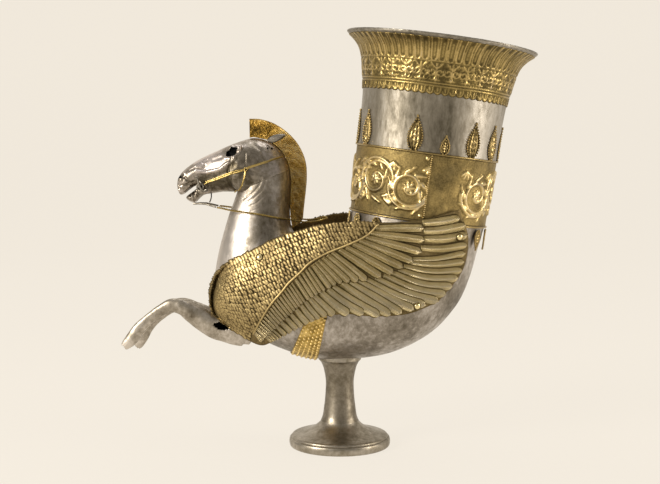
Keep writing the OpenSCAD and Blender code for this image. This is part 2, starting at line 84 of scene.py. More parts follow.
# Seamless background sheet: matt, evenly pale, lit from behind so that it stays flat.
paper, tree = new_material("background_paper_matt")
fibre = add(tree, "ShaderNodeTexNoise", {"Scale": 900.0, "Detail": 2.0})
shade = add(tree, "ShaderNodeMapRange", {"Value": fibre.outputs[0], "To Min": 0.985, "To Max": 1.0})
tone = add(tree, "ShaderNodeMix", {0: 1.0, 6: linear("#EFE7DA"), 7: shade.outputs[0]},
           data_type="RGBA", blend_type="MULTIPLY")
skin_of_paper = add(tree, "ShaderNodeBsdfPrincipled",
                    {"Base Color": linear("#454340"), "Roughness": 0.95, "Specular IOR Level": 0.1,
                     "Emission Color": tone.outputs[2], "Emission Strength": 0.97})
add(tree, "ShaderNodeOutputMaterial", {0: skin_of_paper.outputs[0]})

bm = bmesh.new()
corner = [bm.verts.new((-5, y, z)) for y, z in
          [(-6, 0), (2.2, 0), (2.6, 0.05), (3.0, 0.2), (3.3, 0.5), (3.4, 0.9), (3.4, 6)]]
edges = [bm.edges.new((a, b)) for a, b in zip(corner, corner[1:])]
made = bmesh.ops.extrude_edge_only(bm, edges=edges)
far_edge = [v for v in made["geom"] if isinstance(v, bmesh.types.BMVert)]
bmesh.ops.translate(bm, vec=(10, 0, 0), verts=far_edge)
bmesh.ops.recalc_face_normals(bm, faces=bm.faces)
backdrop_mesh = bpy.data.meshes.new("backdrop")
bm.to_mesh(backdrop_mesh)
bm.free()
backdrop_mesh.shade_smooth()
backdrop_mesh.materials.append(paper)
backdrop = bpy.data.objects.new("backdrop", backdrop_mesh)
scene.collection.objects.link(backdrop)

scene.world = bpy.data.worlds.new("studio_air")
scene.world.use_nodes = True
scene.world.node_tree.nodes["Background"].inputs[0].default_value = linear("#F3EEE6")
scene.world.node_tree.nodes["Background"].inputs[1].default_value = 0.34
scene.view_settings.view_transform = "Standard"

SOFT_BOXES = [
    # name, place, aim, width, height, watts, colour
    ("key_box", (-2.0, -1.3, 1.15), (-0.05, 0, 0.32), 0.8, 1.1, 58, "#FFFAF2"),
    ("fill_box", (2.1, -0.55, 0.8), (0.08, 0, 0.35), 0.6, 1.4, 26, "#FFF8EE"),
    ("top_box", (0.1, 0.3, 2.2), (0.02, 0, 0.3), 1.6, 1.2, 12, "#FFFFFF"),
]
for name, place, aim, width, height, watts, colour in SOFT_BOXES:
    lamp = bpy.data.lights.new(name, "AREA")
    lamp.shape = "RECTANGLE"
    lamp.size, lamp.size_y = width, height
    lamp.energy = watts
    lamp.color = linear(colour)[:3]
    box = bpy.data.objects.new(name, lamp)
    box.location = place
    box.rotation_euler = (Vector(aim) - Vector(place)).to_track_quat("-Z", "Y").to_euler()
    scene.collection.objects.link(box)


# ---- Foot --------------------------------------------------------------------------
# The foot is three turned silver parts: a heavy edge ring, a dished disc let into it, and a
# hollow waisted stem. Their silver is handled and brown in patches with age.
def silver_metal(name, bright, dull, brown, streak=1.0, hammer=14.0, matt=0.27):
    """Old hammered silver sheet: soft hammer dents, drawn-out polish and brown tarnish.

    streak above 1 draws the tarnish out upright, as on a wall that was wiped up and down.
    matt is the roughness of its smoothest places.
    The vertex attribute adds darkness above 0 and brightness below 0 where a piece has it: tarnish, dirt and
    painted shade above, polish and painted highlight below."""
    material, tree = new_material(name)
    place = add(tree, "ShaderNodeTexCoord").outputs["Object"]
    drawn = add(tree, "ShaderNodeMapping", {"Vector": place, "Scale": (1, 1, 1 / streak)}).outputs[0]
    # Vertex attribute: tarnish and painted shade above 0, polish and painted highlight below 0
    soil_and_painted_light = add(tree, "ShaderNodeAttribute", attribute_name="soil_and_painted_light").outputs["Fac"]
    cloud = add(tree, "ShaderNodeTexNoise", {"Vector": drawn, "Scale": 1000 / 46, "Detail": 7.0,
                                            "Roughness": 0.62, "Distortion": 0.5})
    spots = add(tree, "ShaderNodeTexNoise", {"Vector": drawn, "Scale": 1000 / 7, "Detail": 5.0,
                                            "Roughness": 0.7})
    both = add(tree, "ShaderNodeMath", {0: cloud.outputs[0], 1: spots.outputs[0]}, operation="ADD")
    patches = add(tree, "ShaderNodeMath", {0: both.outputs[0], 1: soil_and_painted_light, 2: 0.0}, operation="ADD")
    tone = add(tree, "ShaderNodeValToRGB", {0: add(tree, "ShaderNodeMath",
               {0: patches.outputs[0], 1: 0.5}, operation="MULTIPLY").outputs[0]})
    ramp = tone.color_ramp
    ramp.elements[0].position, ramp.elements[0].color = 0.36, linear(bright)
    ramp.elements[1].position, ramp.elements[1].color = 0.74, linear(brown)
    middle = ramp.elements.new(0.55)
    middle.color = linear(dull)
    grain = add(tree, "ShaderNodeTexNoise", {"Vector": place, "Scale": 1000 / 1.3, "Detail": 2.0})
    rough = add(tree, "ShaderNodeMapRange", {"Value": both.outputs[0], "From Min": 0.7, "From Max": 1.3,
                                            "To Min": matt, "To Max": matt + 0.2})
    dents = add(tree, "ShaderNodeTexVoronoi", {"Vector": place, "Scale": 1000 / hammer,
                                              "Smoothness": 1.0}, feature="SMOOTH_F1")
    blow = add(tree, "ShaderNodeBump", {"Strength": 0.35, "Distance": 0.0012, "Height": dents.outputs[0]})
    scar = add(tree, "ShaderNodeBump", {"Strength": 0.22, "Distance": 0.0006, "Height": spots.outputs[0],
                                       "Normal": blow.outputs[0]})
    scratch = add(tree, "ShaderNodeBump", {"Strength": 0.12, "Distance": 0.0002,
                                          "Height": grain.outputs[0], "Normal": scar.outputs[0]})
    metal = add(tree, "ShaderNodeBsdfPrincipled", {"Base Color": tone.outputs[0], "Metallic": 1.0,
                "Roughness": rough.outputs[0], "Normal": scratch.outputs[0]})
    add(tree, "ShaderNodeOutputMaterial", {0: metal.outputs[0]})
    return material


def curve(points, t):
    """Point at t along a row of points, each step one unit, on a smooth curve."""
    last = len(points) - 1
    i = max(0, min(last - 1, math.floor(t)))
    f = t - i
    b, c = points[i], points[i + 1]
    a = points[i - 1] if i > 0 else [2 * p - q for p, q in zip(b, c)]
    d = points[i + 2] if i + 2 <= last else [2 * q - p for p, q in zip(b, c)]
    return [0.5 * (2 * q + (r - p) * f + (2 * p - 5 * q + 4 * r - s) * f * f
                   + (3 * q - p - 3 * r + s) * f ** 3)
            for p, q, r, s in zip(a, b, c, d)]


def turned(bm, profile, steps=160):
    """Spins a closed outline of radius and height round the Z axis."""
    ring = [bm.verts.new((r, 0, z)) for r, z in profile]
    edges = [bm.edges.new((a, b)) for a, b in zip(ring, ring[1:] + ring[:1])]
    bmesh.ops.spin(bm, geom=ring + edges, cent=(0, 0, 0), axis=(0, 0, 1), angle=math.tau,
                   steps=steps, use_merge=True)
    bmesh.ops.recalc_face_normals(bm, faces=bm.faces)


def finish_piece(name, bm, metal, slot, *stands_for, crease=38, thick=0.0):
    """Makes the mesh an object in metres that rides on the cup and stands for its CAD nodes."""
    bmesh.ops.scale(bm, vec=(0.001, 0.001, 0.001), verts=bm.verts)
    mesh = bpy.data.meshes.new(name)
    bm.to_mesh(mesh)
    bm.free()
    mesh.shade_smooth()
    mesh.set_sharp_from_angle(angle=math.radians(crease))
    mesh.materials.append(metal)
    made = bpy.data.objects.new(name, mesh)
    scene.collection.objects.link(made)
    if thick:
        wall = made.modifiers.new("sheet", "SOLIDIFY")
        wall.thickness = thick / 1000
        wall.offset = -1
    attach(made, "root")
    if stands_for:
        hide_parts(*stands_for)
    return made


# Turned silver, handled smooth, brown in patches
foot_silver = silver_metal("silver_turned_worn", "#B6AD9F", "#8E8574", "#5C5342", hammer=22, matt=0.3)
RING = [(68.5, 13), (74.6, 13), (75.9, 12.6), (76.7, 11.6), (77.2, 9.6), (77.5, 7.2), (77.4, 4.6),
        (77, 2.2), (76.4, 0.7), (75.5, 0), (70.5, 0), (69.3, 3)]
bm = bmesh.new()
turned(bm, RING)
finish_piece("foot_ring_turned", bm, foot_silver, "aged_silver", "foot_ring")

DISC = [(26.9, 37.9), (28.9, 37.9), (30.2, 35.6), (34, 32), (37.6, 29.1), (42, 26.5), (52, 22), (63, 18.6),
        (69.5, 17.2), (72, 16.6), (73.2, 15.7), (73.9, 14.4), (73.9, 13.1), (71, 13.1), (62.4, 16.5),
        (51.4, 19.9), (41.4, 24.4), (33.4, 29.9), (26.9, 35.6)]
bm = bmesh.new()
turned(bm, DISC)
finish_piece("foot_disc_turned", bm, foot_silver, "aged_silver", "foot_disc")

STEM = [[28.9, 38], [27.3, 42], [25.8, 47], [24, 60], [22.4, 74], [21.3, 94], [21.9, 104], [23.2, 112],
        [25.6, 122], [29, 129], [31, 131.4], [32.4, 133]]
outer = [curve(STEM, k / 3) for k in range(3 * (len(STEM) - 1) + 1)]
STEM_WALL = 2

# The stem's silver, which the hand wears less
stem_silver = silver_metal("silver_stem_brown", "#9A9182", "#766D5D", "#4E4638", hammer=22, matt=0.34)
bm = bmesh.new()
turned(bm, outer + [(r - STEM_WALL, z) for r, z in reversed(outer)])
finish_piece("foot_stem_turned", bm, stem_silver, "aged_silver", "foot_stem")


# ---- Belly, chest and neck ----------------------------------------------------------
# Hammered silver sheet. The belly bends forward from under the horn to the girdle; the chest
# and neck are a second shell that rises to the throat. Both are about 1.2 mm thick.
# Sections: x, z of the inner edge, x, z of the outer edge, half width.
BODY = [
    [18.72, 372.21, 219.38, 345.43, 101.3], [17.69, 364.28, 218.31, 337.52, 101.2],
    [16.5, 350, 213, 318, 101], [15.5, 338, 206, 293, 100.5], [14, 327, 197.5, 262, 100],
    [12, 318, 186, 232, 99.5], [10, 311, 169, 206, 98.5], [8, 307, 146, 181, 97.5],
    [6, 304.5, 117, 161.5, 96.5], [4, 303, 84, 146.5, 95], [2, 302.3, 50, 137.9, 93.5],
    [0, 302, 14, 134.7, 92], [-2, 302, -22, 134.2, 90.5], [-4, 302, -55, 139, 89],
    [-20, 303, -88, 150, 87.5], [-35, 305, -122, 164, 85.5], [-48, 309, -155, 178, 82],
    [-58, 315, -180, 200, 77], [-66, 322, -191, 222.5, 71], [-71, 330, -193, 243, 64.5],
    [-74, 339, -190.3, 262, 58], [-75.5, 350, -186, 288, 51], [-76, 362, -180.5, 312, 45.5],
    [-75.5, 376, -174, 335, 41], [-74.5, 391, -167.5, 356, 37.5], [-74.5, 407, -161, 373, 35],
    [-76, 423, -155, 389, 33.5], [-80, 438, -149, 404, 32]
]


def section_at(sections, station, angle, lift=0.0):
    """Point of an elliptical section; angle 0 is its outer edge, 90 its right side, in degrees."""
    k = curve(sections, station)
    half = Vector(((k[2] - k[0]) / 2, 0, (k[3] - k[1]) / 2))
    middle = Vector(((k[0] + k[2]) / 2, 0, (k[1] + k[3]) / 2))
    a = math.radians(angle)
    return middle + half * ((half.length + lift) / half.length * math.cos(a)) \
        + Vector((0, (k[4] + lift) * math.sin(a), 0))


def lay_grid(bm, across, along, place, soil_and_painted_light=None, turn=False):
    """A grid of faces laid over a surface: place(u, v) gives a point, u and v run from 0 to 1."""
    uv = bm.loops.layers.uv.verify()
    dirt_and_shade = bm.verts.layers.float.get("soil_and_painted_light") or bm.verts.layers.float.new("soil_and_painted_light")
    start = len(bm.faces)
    verts = bmesh.ops.create_grid(bm, x_segments=across, y_segments=along, size=0.5)["verts"]
    flat = {v: (v.co.x + 0.5, v.co.y + 0.5) for v in verts}
    bm.faces.ensure_lookup_table()
    faces = bm.faces[start:]
    for face in faces:
        for loop in face.loops:
            loop[uv].uv = flat[loop.vert]
    for v, (a, b) in flat.items():
        v.co = place(a, b)
        if soil_and_painted_light:
            v[dirt_and_shade] = soil_and_painted_light(v.co)
    if turn:
        bmesh.ops.reverse_faces(bm, faces=faces)
    return verts


def spot(point, centre, reach):
    """1 at the centre of a patch on the horse's side, falling to 0 at its reach."""
    gone = math.hypot((point.x - centre[0]) / reach[0], (point.z - centre[1]) / reach[1])
    return max(0.0, 1 - gone) ** 0.8 if gone < 1 else 0.0


def body_tarnish_and_painted_light(p):
    """Darker patches on belly and elbow, painted shade in dark bands up the neck, and a painted highlight on
    the breast and neck front.
    """
    side = 0.28 * spot(p, (-112, 330), (17, 85)) + 0.2 * spot(p, (-84, 380), (8, 70))
    side += 0.2 * spot(p, (60, 190), (90, 46)) + 0.22 * spot(p, (172, 232), (26, 60))
    return side - 0.5 * spot(p, (-172, 285), (32, 60)) - 0.25 * spot(p, (-150, 340), (18, 60))


# Hammered silver of belly, chest and neck, with a painted highlight on the breast
body_silver = silver_metal("silver_hammered_body", "#CBC2B8", "#90877A", "#585040", streak=1.4, matt=0.33)
skin_dent = Vector((3.1, 7.7, 1.9))


def chase(bm, strokes):
    """Pushes chased strokes into both sides of a skin: path in x, z, then reach and depth in mm."""
    bm.normal_update()
    points = np.array([v.co for v in bm.verts])
    normals = np.array([v.normal for v in bm.verts])
    push = np.zeros(len(points))
    for path, reach, depth in strokes:
        gone = np.full(len(points), 1e9)
        for (x0, z0), (x1, z1) in zip(path, path[1:]):
            dx, dz = x1 - x0, z1 - z0
            t = np.clip(((points[:, 0] - x0) * dx + (points[:, 2] - z0) * dz) / (dx * dx + dz * dz), 0, 1)
            gone = np.minimum(gone, np.hypot(points[:, 0] - x0 - t * dx, points[:, 2] - z0 - t * dz))
        push += depth * np.clip(1 - (gone / reach) ** 2, 0, 1) ** 2 \
            * np.clip(np.abs(normals[:, 1]) * 1.8 - 0.1, 0, 1)
    layer = bm.verts.layers.float.get("soil_and_painted_light") or bm.verts.layers.float.new("soil_and_painted_light")
    # Pushed-in folds turn darker and raised ones lighter: tarnish and painted shade in the folds
    for v, p in zip(bm.verts, push):
        v.co += v.normal * float(p)
        v[layer] = v[layer] - 0.10 * float(p)


# Folds of skin that run from the throat up behind the jaw
WRINKLES = [([(-116.4, 410.6), (-120.9, 398.7), (-131.4, 387.5), (-144.9, 379.3)], 2.0, -0.45),
            ([(-110.5, 406.1), (-115.7, 392.7), (-128.5, 380.8), (-142, 373.3)], 2.0, -0.45),
            ([(-113.5, 408.4), (-118.3, 395.7), (-130, 384.2), (-143.4, 376.3)], 1.5, 0.25),
            ([(-104.5, 401.7), (-110.5, 386.7), (-124, 374), (-139, 367.3)], 2.0, -0.35),
            ([(-98.5, 396), (-105.5, 381), (-119, 367), (-134, 361)], 1.8, -0.2)]


def body_place(first, last, ripple):
    """Places body stations, closer together towards the last one, with soft hammer ripples."""
    def place(u, v):
        station = last - (last - first) * (1 - v) ** 1.3
        p = section_at(BODY, station, 360 * u)
        away = (p - section_at(BODY, station, 360 * u, -5)).normalized()
        return p + away * ripple * (noise.noise(p / 34 + skin_dent) + 0.35 * noise.noise(p / 11))
    return place


GIRDLE_STATION = 13
NECK_STATION = 26
SHEET = 1.2
bm = bmesh.new()
lay_grid(bm, 200, 190, body_place(0, GIRDLE_STATION, 0.5), body_tarnish_and_painted_light, turn=True)
bmesh.ops.remove_doubles(bm, verts=bm.verts, dist=0.01)
finish_piece("belly_hammered", bm, body_silver, "aged_silver", "horn_elbow", thick=SHEET)

bm = bmesh.new()
lay_grid(bm, 180, 220, body_place(GIRDLE_STATION, NECK_STATION, 0.4), body_tarnish_and_painted_light, turn=True)
bmesh.ops.remove_doubles(bm, verts=bm.verts, dist=0.01)
chase(bm, WRINKLES)
finish_piece("chest_and_neck_hammered", bm, body_silver, "aged_silver", "protome_shell", thick=SHEET)


# ---- Horn --------------------------------------------------------------------------
# A straight horn of thin hammered silver, turned true and flared at the mouth. It leans back
# 7.6 degrees. A thin silver lip is rolled round its edge.
HORN = [[8, 102], [42, 103], [72, 104.4], [97, 105.2], [142, 106.2], [183, 108.6], [207, 112],
        [225, 115.5], [235, 118.5], [243, 122.5], [250, 128.4], [255, 134], [259, 139.6], [262, 143]]
horn_line = np.array([curve(HORN, k / 6) for k in range(6 * (len(HORN) - 1) + 1)])
horn_axis = Matrix.Translation((118, 0, 350.9)) @ Matrix.Rotation(math.radians(7.6), 4, "Y")


def on_horn(angle, height, lift=0.0):
    """Point on the horn: angle in degrees from the front towards its back, height along its axis."""
    a = math.radians(angle)
    r = float(np.interp(height, horn_line[:, 0], horn_line[:, 1])) + lift
    return horn_axis @ Vector((r * math.sin(a), -r * math.cos(a), height))


def horn_wipes_and_painted_light(p):
    """Grey-brown wipe marks on the horn, a band of painted shade down its middle and a painted highlight
    towards its back edge.
    """
    back = spot(p, (215, 470), (60, 160))
    middle = spot(p, (140, 490), (62, 90))
    wiped = noise.noise(Vector((p.x / 9, p.y / 9, p.z / 60)))
    return 0.08 + 0.26 * middle - 0.3 * back + 0.1 * wiped


def horn_place(u, v):
    """Place on the horn's wall, u round it and v up from its foot, with soft hammer ripples."""
    a = math.tau * u
    ripple = noise.noise(Vector((4 * math.cos(a), 4 * math.sin(a), 9 * v)))
    return on_horn(360 * u, 8 + 254 * v) + Vector((0, 0.25 * ripple, 0))


# The horn's silver, wiped up and down and a little duller
horn_silver = silver_metal("silver_horn_wiped", "#B4ADA1", "#8C8475", "#5C5547", streak=2.6, hammer=20,
                           matt=0.42)
bm = bmesh.new()
lay_grid(bm, 240, 130, horn_place, horn_wipes_and_painted_light)
bmesh.ops.remove_doubles(bm, verts=bm.verts, dist=0.01)
finish_piece("horn_turned", bm, horn_silver, "aged_silver", "horn_beaker", thick=SHEET)

# Darker silver of the lip and of the bit's small parts
lip_silver = silver_metal("silver_lip_dark", "#A8A296", "#7D766A", "#4E473C", hammer=6)
bm = bmesh.new()
turned(bm, [(142.4 + 1.1 * math.cos(a), 263.16 + 1.1 * math.sin(a)) for a in
            (math.tau * k / 12 for k in range(12))], 240)
bmesh.ops.transform(bm, matrix=horn_axis, verts=bm.verts)
for v in bm.verts:
    v.co.z += 0.25 * noise.noise(v.co / 6)
finish_piece("lip_rolled", bm, lip_silver, "aged_silver", "rim_bead")


# ---- Gilt collar and frieze ---------------------------------------------------------
# Two bands of gilt silver foil pressed over the horn and chased: a collar of tongues and leaf
# scrolls under the mouth, with a scalloped hem, and a broad relief band lower down. The relief
# here is a plain running leaf scroll of a common kind.
def gilding(name, bright, deep, dirt_and_shade, bare="#A9A195", worn=0.5, barbs=0.0, matt=0.26):
    """Mercury gilding on chased silver: yellow on the heights, olive-brown dirt and painted shade in the
    hollows.

    The vertex attribute is 1 in a hollow, for dirt and painted shade, and below 0 on a rubbed height, where
    silver shows.
    barbs is the spacing in mm of fine slanting strokes on both sides of a quill, on its UV map.
    matt is the roughness of its smoothest places."""
    material, tree = new_material(name)
    place = add(tree, "ShaderNodeTexCoord").outputs["Object"]
    # Attribute read here: dirt and painted shade in hollows, rubbed wear on heights
    soil_and_painted_light = add(tree, "ShaderNodeAttribute", attribute_name="soil_and_painted_light").outputs["Fac"]
    cloud = add(tree, "ShaderNodeTexNoise", {"Vector": place, "Scale": 1000 / 30, "Detail": 6.0,
                                            "Roughness": 0.65})
    specks = add(tree, "ShaderNodeTexNoise", {"Vector": place, "Scale": 1000 / 2.2, "Detail": 4.0,
                                             "Roughness": 0.7})
    mixed = add(tree, "ShaderNodeMath", {0: cloud.outputs[0], 1: specks.outputs[0]}, operation="ADD")
    level = add(tree, "ShaderNodeMath", {0: mixed.outputs[0], 1: 0.5, 2: soil_and_painted_light}, operation="MULTIPLY_ADD")
    tone = add(tree, "ShaderNodeValToRGB", {0: level.outputs[0]})
    ramp = tone.color_ramp
    ramp.elements[0].position, ramp.elements[0].color = 0.30, linear(bright)
    ramp.elements[1].position, ramp.elements[1].color = 1.05, linear(dirt_and_shade)
    middle = ramp.elements.new(0.62)
    middle.color = linear(deep)
    rubbed = add(tree, "ShaderNodeMapRange", {"Value": level.outputs[0], "From Min": 0.42 - 0.1 * worn,
                                             "From Max": 0.28 - 0.1 * worn, "To Min": 0.0, "To Max": worn})
    colour = add(tree, "ShaderNodeMix", {0: rubbed.outputs[0], 6: tone.outputs[0], 7: linear(bare)},
                 data_type="RGBA")
    lost = add(tree, "ShaderNodeTexNoise", {"Vector": place, "Scale": 1000 / 55, "Detail": 5.0,
                                           "Roughness": 0.6})
    bald = add(tree, "ShaderNodeMapRange", {"Value": lost.outputs[0], "From Min": 0.50, "From Max": 0.64,
                                           "To Min": 0.0, "To Max": worn})
    grey = add(tree, "ShaderNodeMix", {0: 1.0, 6: colour.outputs[2], 7: linear("#A3A6B4")},
               data_type="RGBA", blend_type="MULTIPLY")
    colour = add(tree, "ShaderNodeMix", {0: bald.outputs[0], 6: colour.outputs[2], 7: grey.outputs[2]},
                 data_type="RGBA")
    rough = add(tree, "ShaderNodeMapRange", {"Value": level.outputs[0], "From Min": 0.3, "From Max": 0.9,
                                            "To Min": matt, "To Max": matt + 0.29})
    pits = add(tree, "ShaderNodeBump", {"Strength": 0.3, "Distance": 0.0004, "Height": specks.outputs[0]})
    last = pits.outputs[0]
    if barbs:
        flat = add(tree, "ShaderNodeSeparateXYZ", {0: add(tree, "ShaderNodeUVMap").outputs[0]})
        side = add(tree, "ShaderNodeMath", {0: flat.outputs[0]}, operation="ABSOLUTE")
        slant = add(tree, "ShaderNodeMath", {0: side.outputs[0], 1: -1.1, 2: flat.outputs[1]},
                    operation="MULTIPLY_ADD")
        turn = add(tree, "ShaderNodeMath", {0: slant.outputs[0], 1: math.tau * 100 / barbs},
                   operation="MULTIPLY")
        stroke = add(tree, "ShaderNodeMath", {0: turn.outputs[0]}, operation="SINE")
        last = add(tree, "ShaderNodeBump", {"Strength": 0.8, "Distance": 0.0005,
                                           "Height": stroke.outputs[0], "Normal": last}).outputs[0]
        # Dirt and painted shade in the grooves between the barbs
        groove = add(tree, "ShaderNodeMapRange", {"Value": stroke.outputs[0], "From Min": 0.2,
                                                 "From Max": -1.0, "To Min": 0.0, "To Max": 0.6})
        colour = add(tree, "ShaderNodeMix", {0: groove.outputs[0], 6: colour.outputs[2],
                                            7: linear(dirt_and_shade)}, data_type="RGBA")
    metal = add(tree, "ShaderNodeBsdfPrincipled", {"Base Color": colour.outputs[2], "Metallic": 1.0,
                "Roughness": rough.outputs[0], "Normal": last})
    add(tree, "ShaderNodeOutputMaterial", {0: metal.outputs[0]})
    return material


def emboss(field, path, width, height, cell=1.0):
    """Raises a rounded ridge along a path in mm on a height field with that cell size."""
    reach = width / 2
    for (x0, y0), (x1, y1) in zip(path, path[1:]):
        left = max(0, int((min(x0, x1) - reach) / cell))
        right = min(field.shape[1], int((max(x0, x1) + reach) / cell) + 2)
        low = max(0, int((min(y0, y1) - reach) / cell))
        high = min(field.shape[0], int((max(y0, y1) + reach) / cell) + 2)
        if left >= right or low >= high:
            continue
        x, y = np.meshgrid(np.arange(left, right) * cell, np.arange(low, high) * cell)
        dx, dy = x1 - x0, y1 - y0
        t = np.clip(((x - x0) * dx + (y - y0) * dy) / max(dx * dx + dy * dy, 1e-9), 0, 1)
        gone = np.hypot(x - x0 - t * dx, y - y0 - t * dy) / reach
        part = field[low:high, left:right]
        np.maximum(part, height * np.sqrt(np.clip(1 - gone ** 2, 0, 1)), out=part)


def arc(x, y, r, start, end, count=8):
    """Points of an arc round a centre, angles in degrees."""
    return [(x + r * math.cos(math.radians(start + (end - start) * k / count)),
             y + r * math.sin(math.radians(start + (end - start) * k / count))) for k in range(count + 1)]


def spiral(x, y, r0, r1, start, turn, count=22):
    """Points of a spiral that winds inwards from radius r0 to r1."""
    return [(x + (r0 + (r1 - r0) * k / count) * math.cos(math.radians(start + turn * k / count)),
             y + (r0 + (r1 - r0) * k / count) * math.sin(math.radians(start + turn * k / count)))
            for k in range(count + 1)]


def band_place(field, low, high, lift, hem=None):
    """Places a band of foil on the horn, pushed out by the height field, angle 0 in its middle."""
    rows, cols = field.shape

    def place(u, v):
        h = low + (high - low) * v
        if hem and v < 0.12:
            h += hem(u) * (1 - v / 0.12)
        j, i = v * (rows - 1), u * cols
        low_j, low_i = min(rows - 2, int(j)), int(i)
        f, g = j - low_j, i - low_i
        near = field[low_j, low_i % cols] * (1 - f) + field[low_j + 1, low_i % cols] * f
        far = field[low_j, (low_i + 1) % cols] * (1 - f) + field[low_j + 1, (low_i + 1) % cols] * f
        return on_horn(360 * u - 180, h, lift + float(near * (1 - g) + far * g))
    return place


def foil(name, field, low, high, metal, node, strongest, hem=None):
    """A chased gilt band: a grid a little coarser than its height field, darker where it is low, for dirt
    and painted shade in the hollows.
    """
    rows, cols = field.shape
    bm = bmesh.new()
    place = band_place(field, low, high, 0.75, hem)
    lay_grid(bm, round(cols * 0.85), round(rows * 0.85), place)
    dirt_and_shade = bm.verts.layers.float.get("soil_and_painted_light")
    bm.verts.ensure_lookup_table()
    around = horn_axis.inverted()
    for v in bm.verts:
        p = around @ v.co
        out = math.hypot(p.x, p.y) - float(np.interp(p.z, horn_line[:, 0], horn_line[:, 1])) - 0.75
        # Lower foil is darker: dirt and painted shade in the hollows
        v[dirt_and_shade] = 0.34 - 0.52 * min(1.0, max(0.0, out) / strongest)
    bmesh.ops.remove_doubles(bm, verts=bm.verts, dist=0.01)
    return finish_piece(name, bm, metal, "gilt_silver", node, thick=0.7, crease=70)


# Gilding of the collar, worn down to grey in patches
collar_gilt = gilding("gilding_collar_worn", "#D2B678", "#8C7949", "#40361F", worn=0.55)
around_mm = 682
rng = np.random.default_rng(11)
collar = np.zeros((78, around_mm))
TONGUES = 64
pitch = around_mm / TONGUES
for k in range(TONGUES):
    x = (k + 0.5) * pitch + rng.normal(0, 0.35)
    top = 50 + rng.normal(0, 0.5)
    tongue = [(x - 3.9, 78), (x - 3.7, top)] + arc(x, top, 3.7, 180, 360) + [(x + 3.9, 78)]
    emboss(collar, tongue, 1.9, 1.25)
    emboss(collar, [(x, 53), (x, 70)], 3.4, 0.8)
    emboss(collar, [(x + pitch / 2, 48), (x + pitch / 2, 62)], 1.5, 0.9)
    emboss(collar, arc(x, 5.2, 3.8, 180, 360) + [(x + 3.8, 9.5)], 1.7, 1.15)
    emboss(collar, [(x, 3.6), (x, 8.2)], 3.0, 0.9)
for y in (11.6, 15.4, 46.0):
    emboss(collar, [(0, y), (around_mm, y)], 1.9, 1.1)
for k in range(32):
    x = (k + 0.5) * around_mm / 32
    for side in (-1, 1):
        emboss(collar, spiral(x + side * 5.4, 31, 6.6, 1.2, 90 - side * 70, -side * 400), 1.9, 1.3)
        emboss(collar, arc(x + side * 4.2, 23.5, 4.0, 90, 90 + side * 200, 8), 1.7, 1.1)
        emboss(collar, [(x + side * 2, 37), (x + side * 7.5, 43)], 3.0, 1.1)
    emboss(collar, [(x, 18), (x, 43)], 2.1, 1.3)
    emboss(collar, [(x, 20.5), (x, 21)], 5.2, 1.5)
for k in range(520):
    x, y = rng.uniform(0, around_mm), rng.uniform(18, 45)
    start = rng.uniform(0, 360)
    emboss(collar, arc(x, y, rng.uniform(1.2, 2.8), start, start + 190, 5), 1.3, rng.uniform(0.5, 1.2))
foil("collar_chased", collar, 182, 258, collar_gilt, "rim_collar", 1.25,
     hem=lambda u: 2.6 * (abs(((u * TONGUES) % 1) * 2 - 1) ** 2.4) - 1.4)

# Gilding of the frieze, kept bright on its heights
frieze_gilt = gilding("gilding_frieze_bright", "#E6CC90", "#B9A168", "#55482B", bare="#BDB5A6", worn=0.7,
                      matt=0.3)
around_mm = 652
PLAIN = (326, 374)
frieze = np.zeros((97, around_mm))
STEM_WAVE = 109
for k in range(6):
    for half, way in ((0, 1), (1, -1)):
        x = k * STEM_WAVE + half * STEM_WAVE / 2 + STEM_WAVE / 4
        if PLAIN[0] - 14 < x < PLAIN[1] + 10:
            continue
        y = 48 + way * 3
        emboss(frieze, arc(x, y, 31, 180 if way > 0 else -180, 0, 20), 5.5, 3.2)
        emboss(frieze, spiral(x, y, 30, 6, 0, way * 520, 40), 5.0, 3.0)
        for petal in range(7):
            a = math.tau * petal / 7
            emboss(frieze, [(x + 3 * math.cos(a), y + 3 * math.sin(a)),
                            (x + 7.5 * math.cos(a), y + 7.5 * math.sin(a))], 4.6, 2.6)
        emboss(frieze, [(x, y), (x + 0.1, y)], 5.0, 3.4)
        for leaf in range(9):
            a = math.radians(leaf * 41 + way * 15)
            r = 17 + 1.6 * leaf
            tip = (x + (r + 9) * math.cos(a + 0.5 * way), y + (r + 9) * math.sin(a + 0.5 * way))
            root = (x + r * math.cos(a), y + r * math.sin(a))
            emboss(frieze, [root, ((root[0] + tip[0]) / 2, (root[1] + tip[1]) / 2)], 6.4, 2.6)
            emboss(frieze, [((root[0] + tip[0]) / 2, (root[1] + tip[1]) / 2), tip], 3.6, 2.4)
        for corner_x, corner_y in ((x - 27, y - way * 34), (x + 27, y - way * 34)):
            for ray in (-50, -18, 18, 50):
                a = math.radians(ray + (90 if way > 0 else -90))
                tip = (corner_x + 11 * math.cos(a), corner_y + 11 * math.sin(a))
                emboss(frieze, [(corner_x, corner_y), tip], 4.4, 2.5)
frieze[:, PLAIN[0]:PLAIN[1]] *= 0.0
for x, y, r in ((352, 70, 16), (340, 30, 18), (366, 44, 12), (350, 12, 14)):
    emboss(frieze, [(x, y), (x + 3, y + 9)], r, 0.5)
foil("frieze_chased", frieze, 0.8, 96, frieze_gilt, "frieze_band", 2.6)

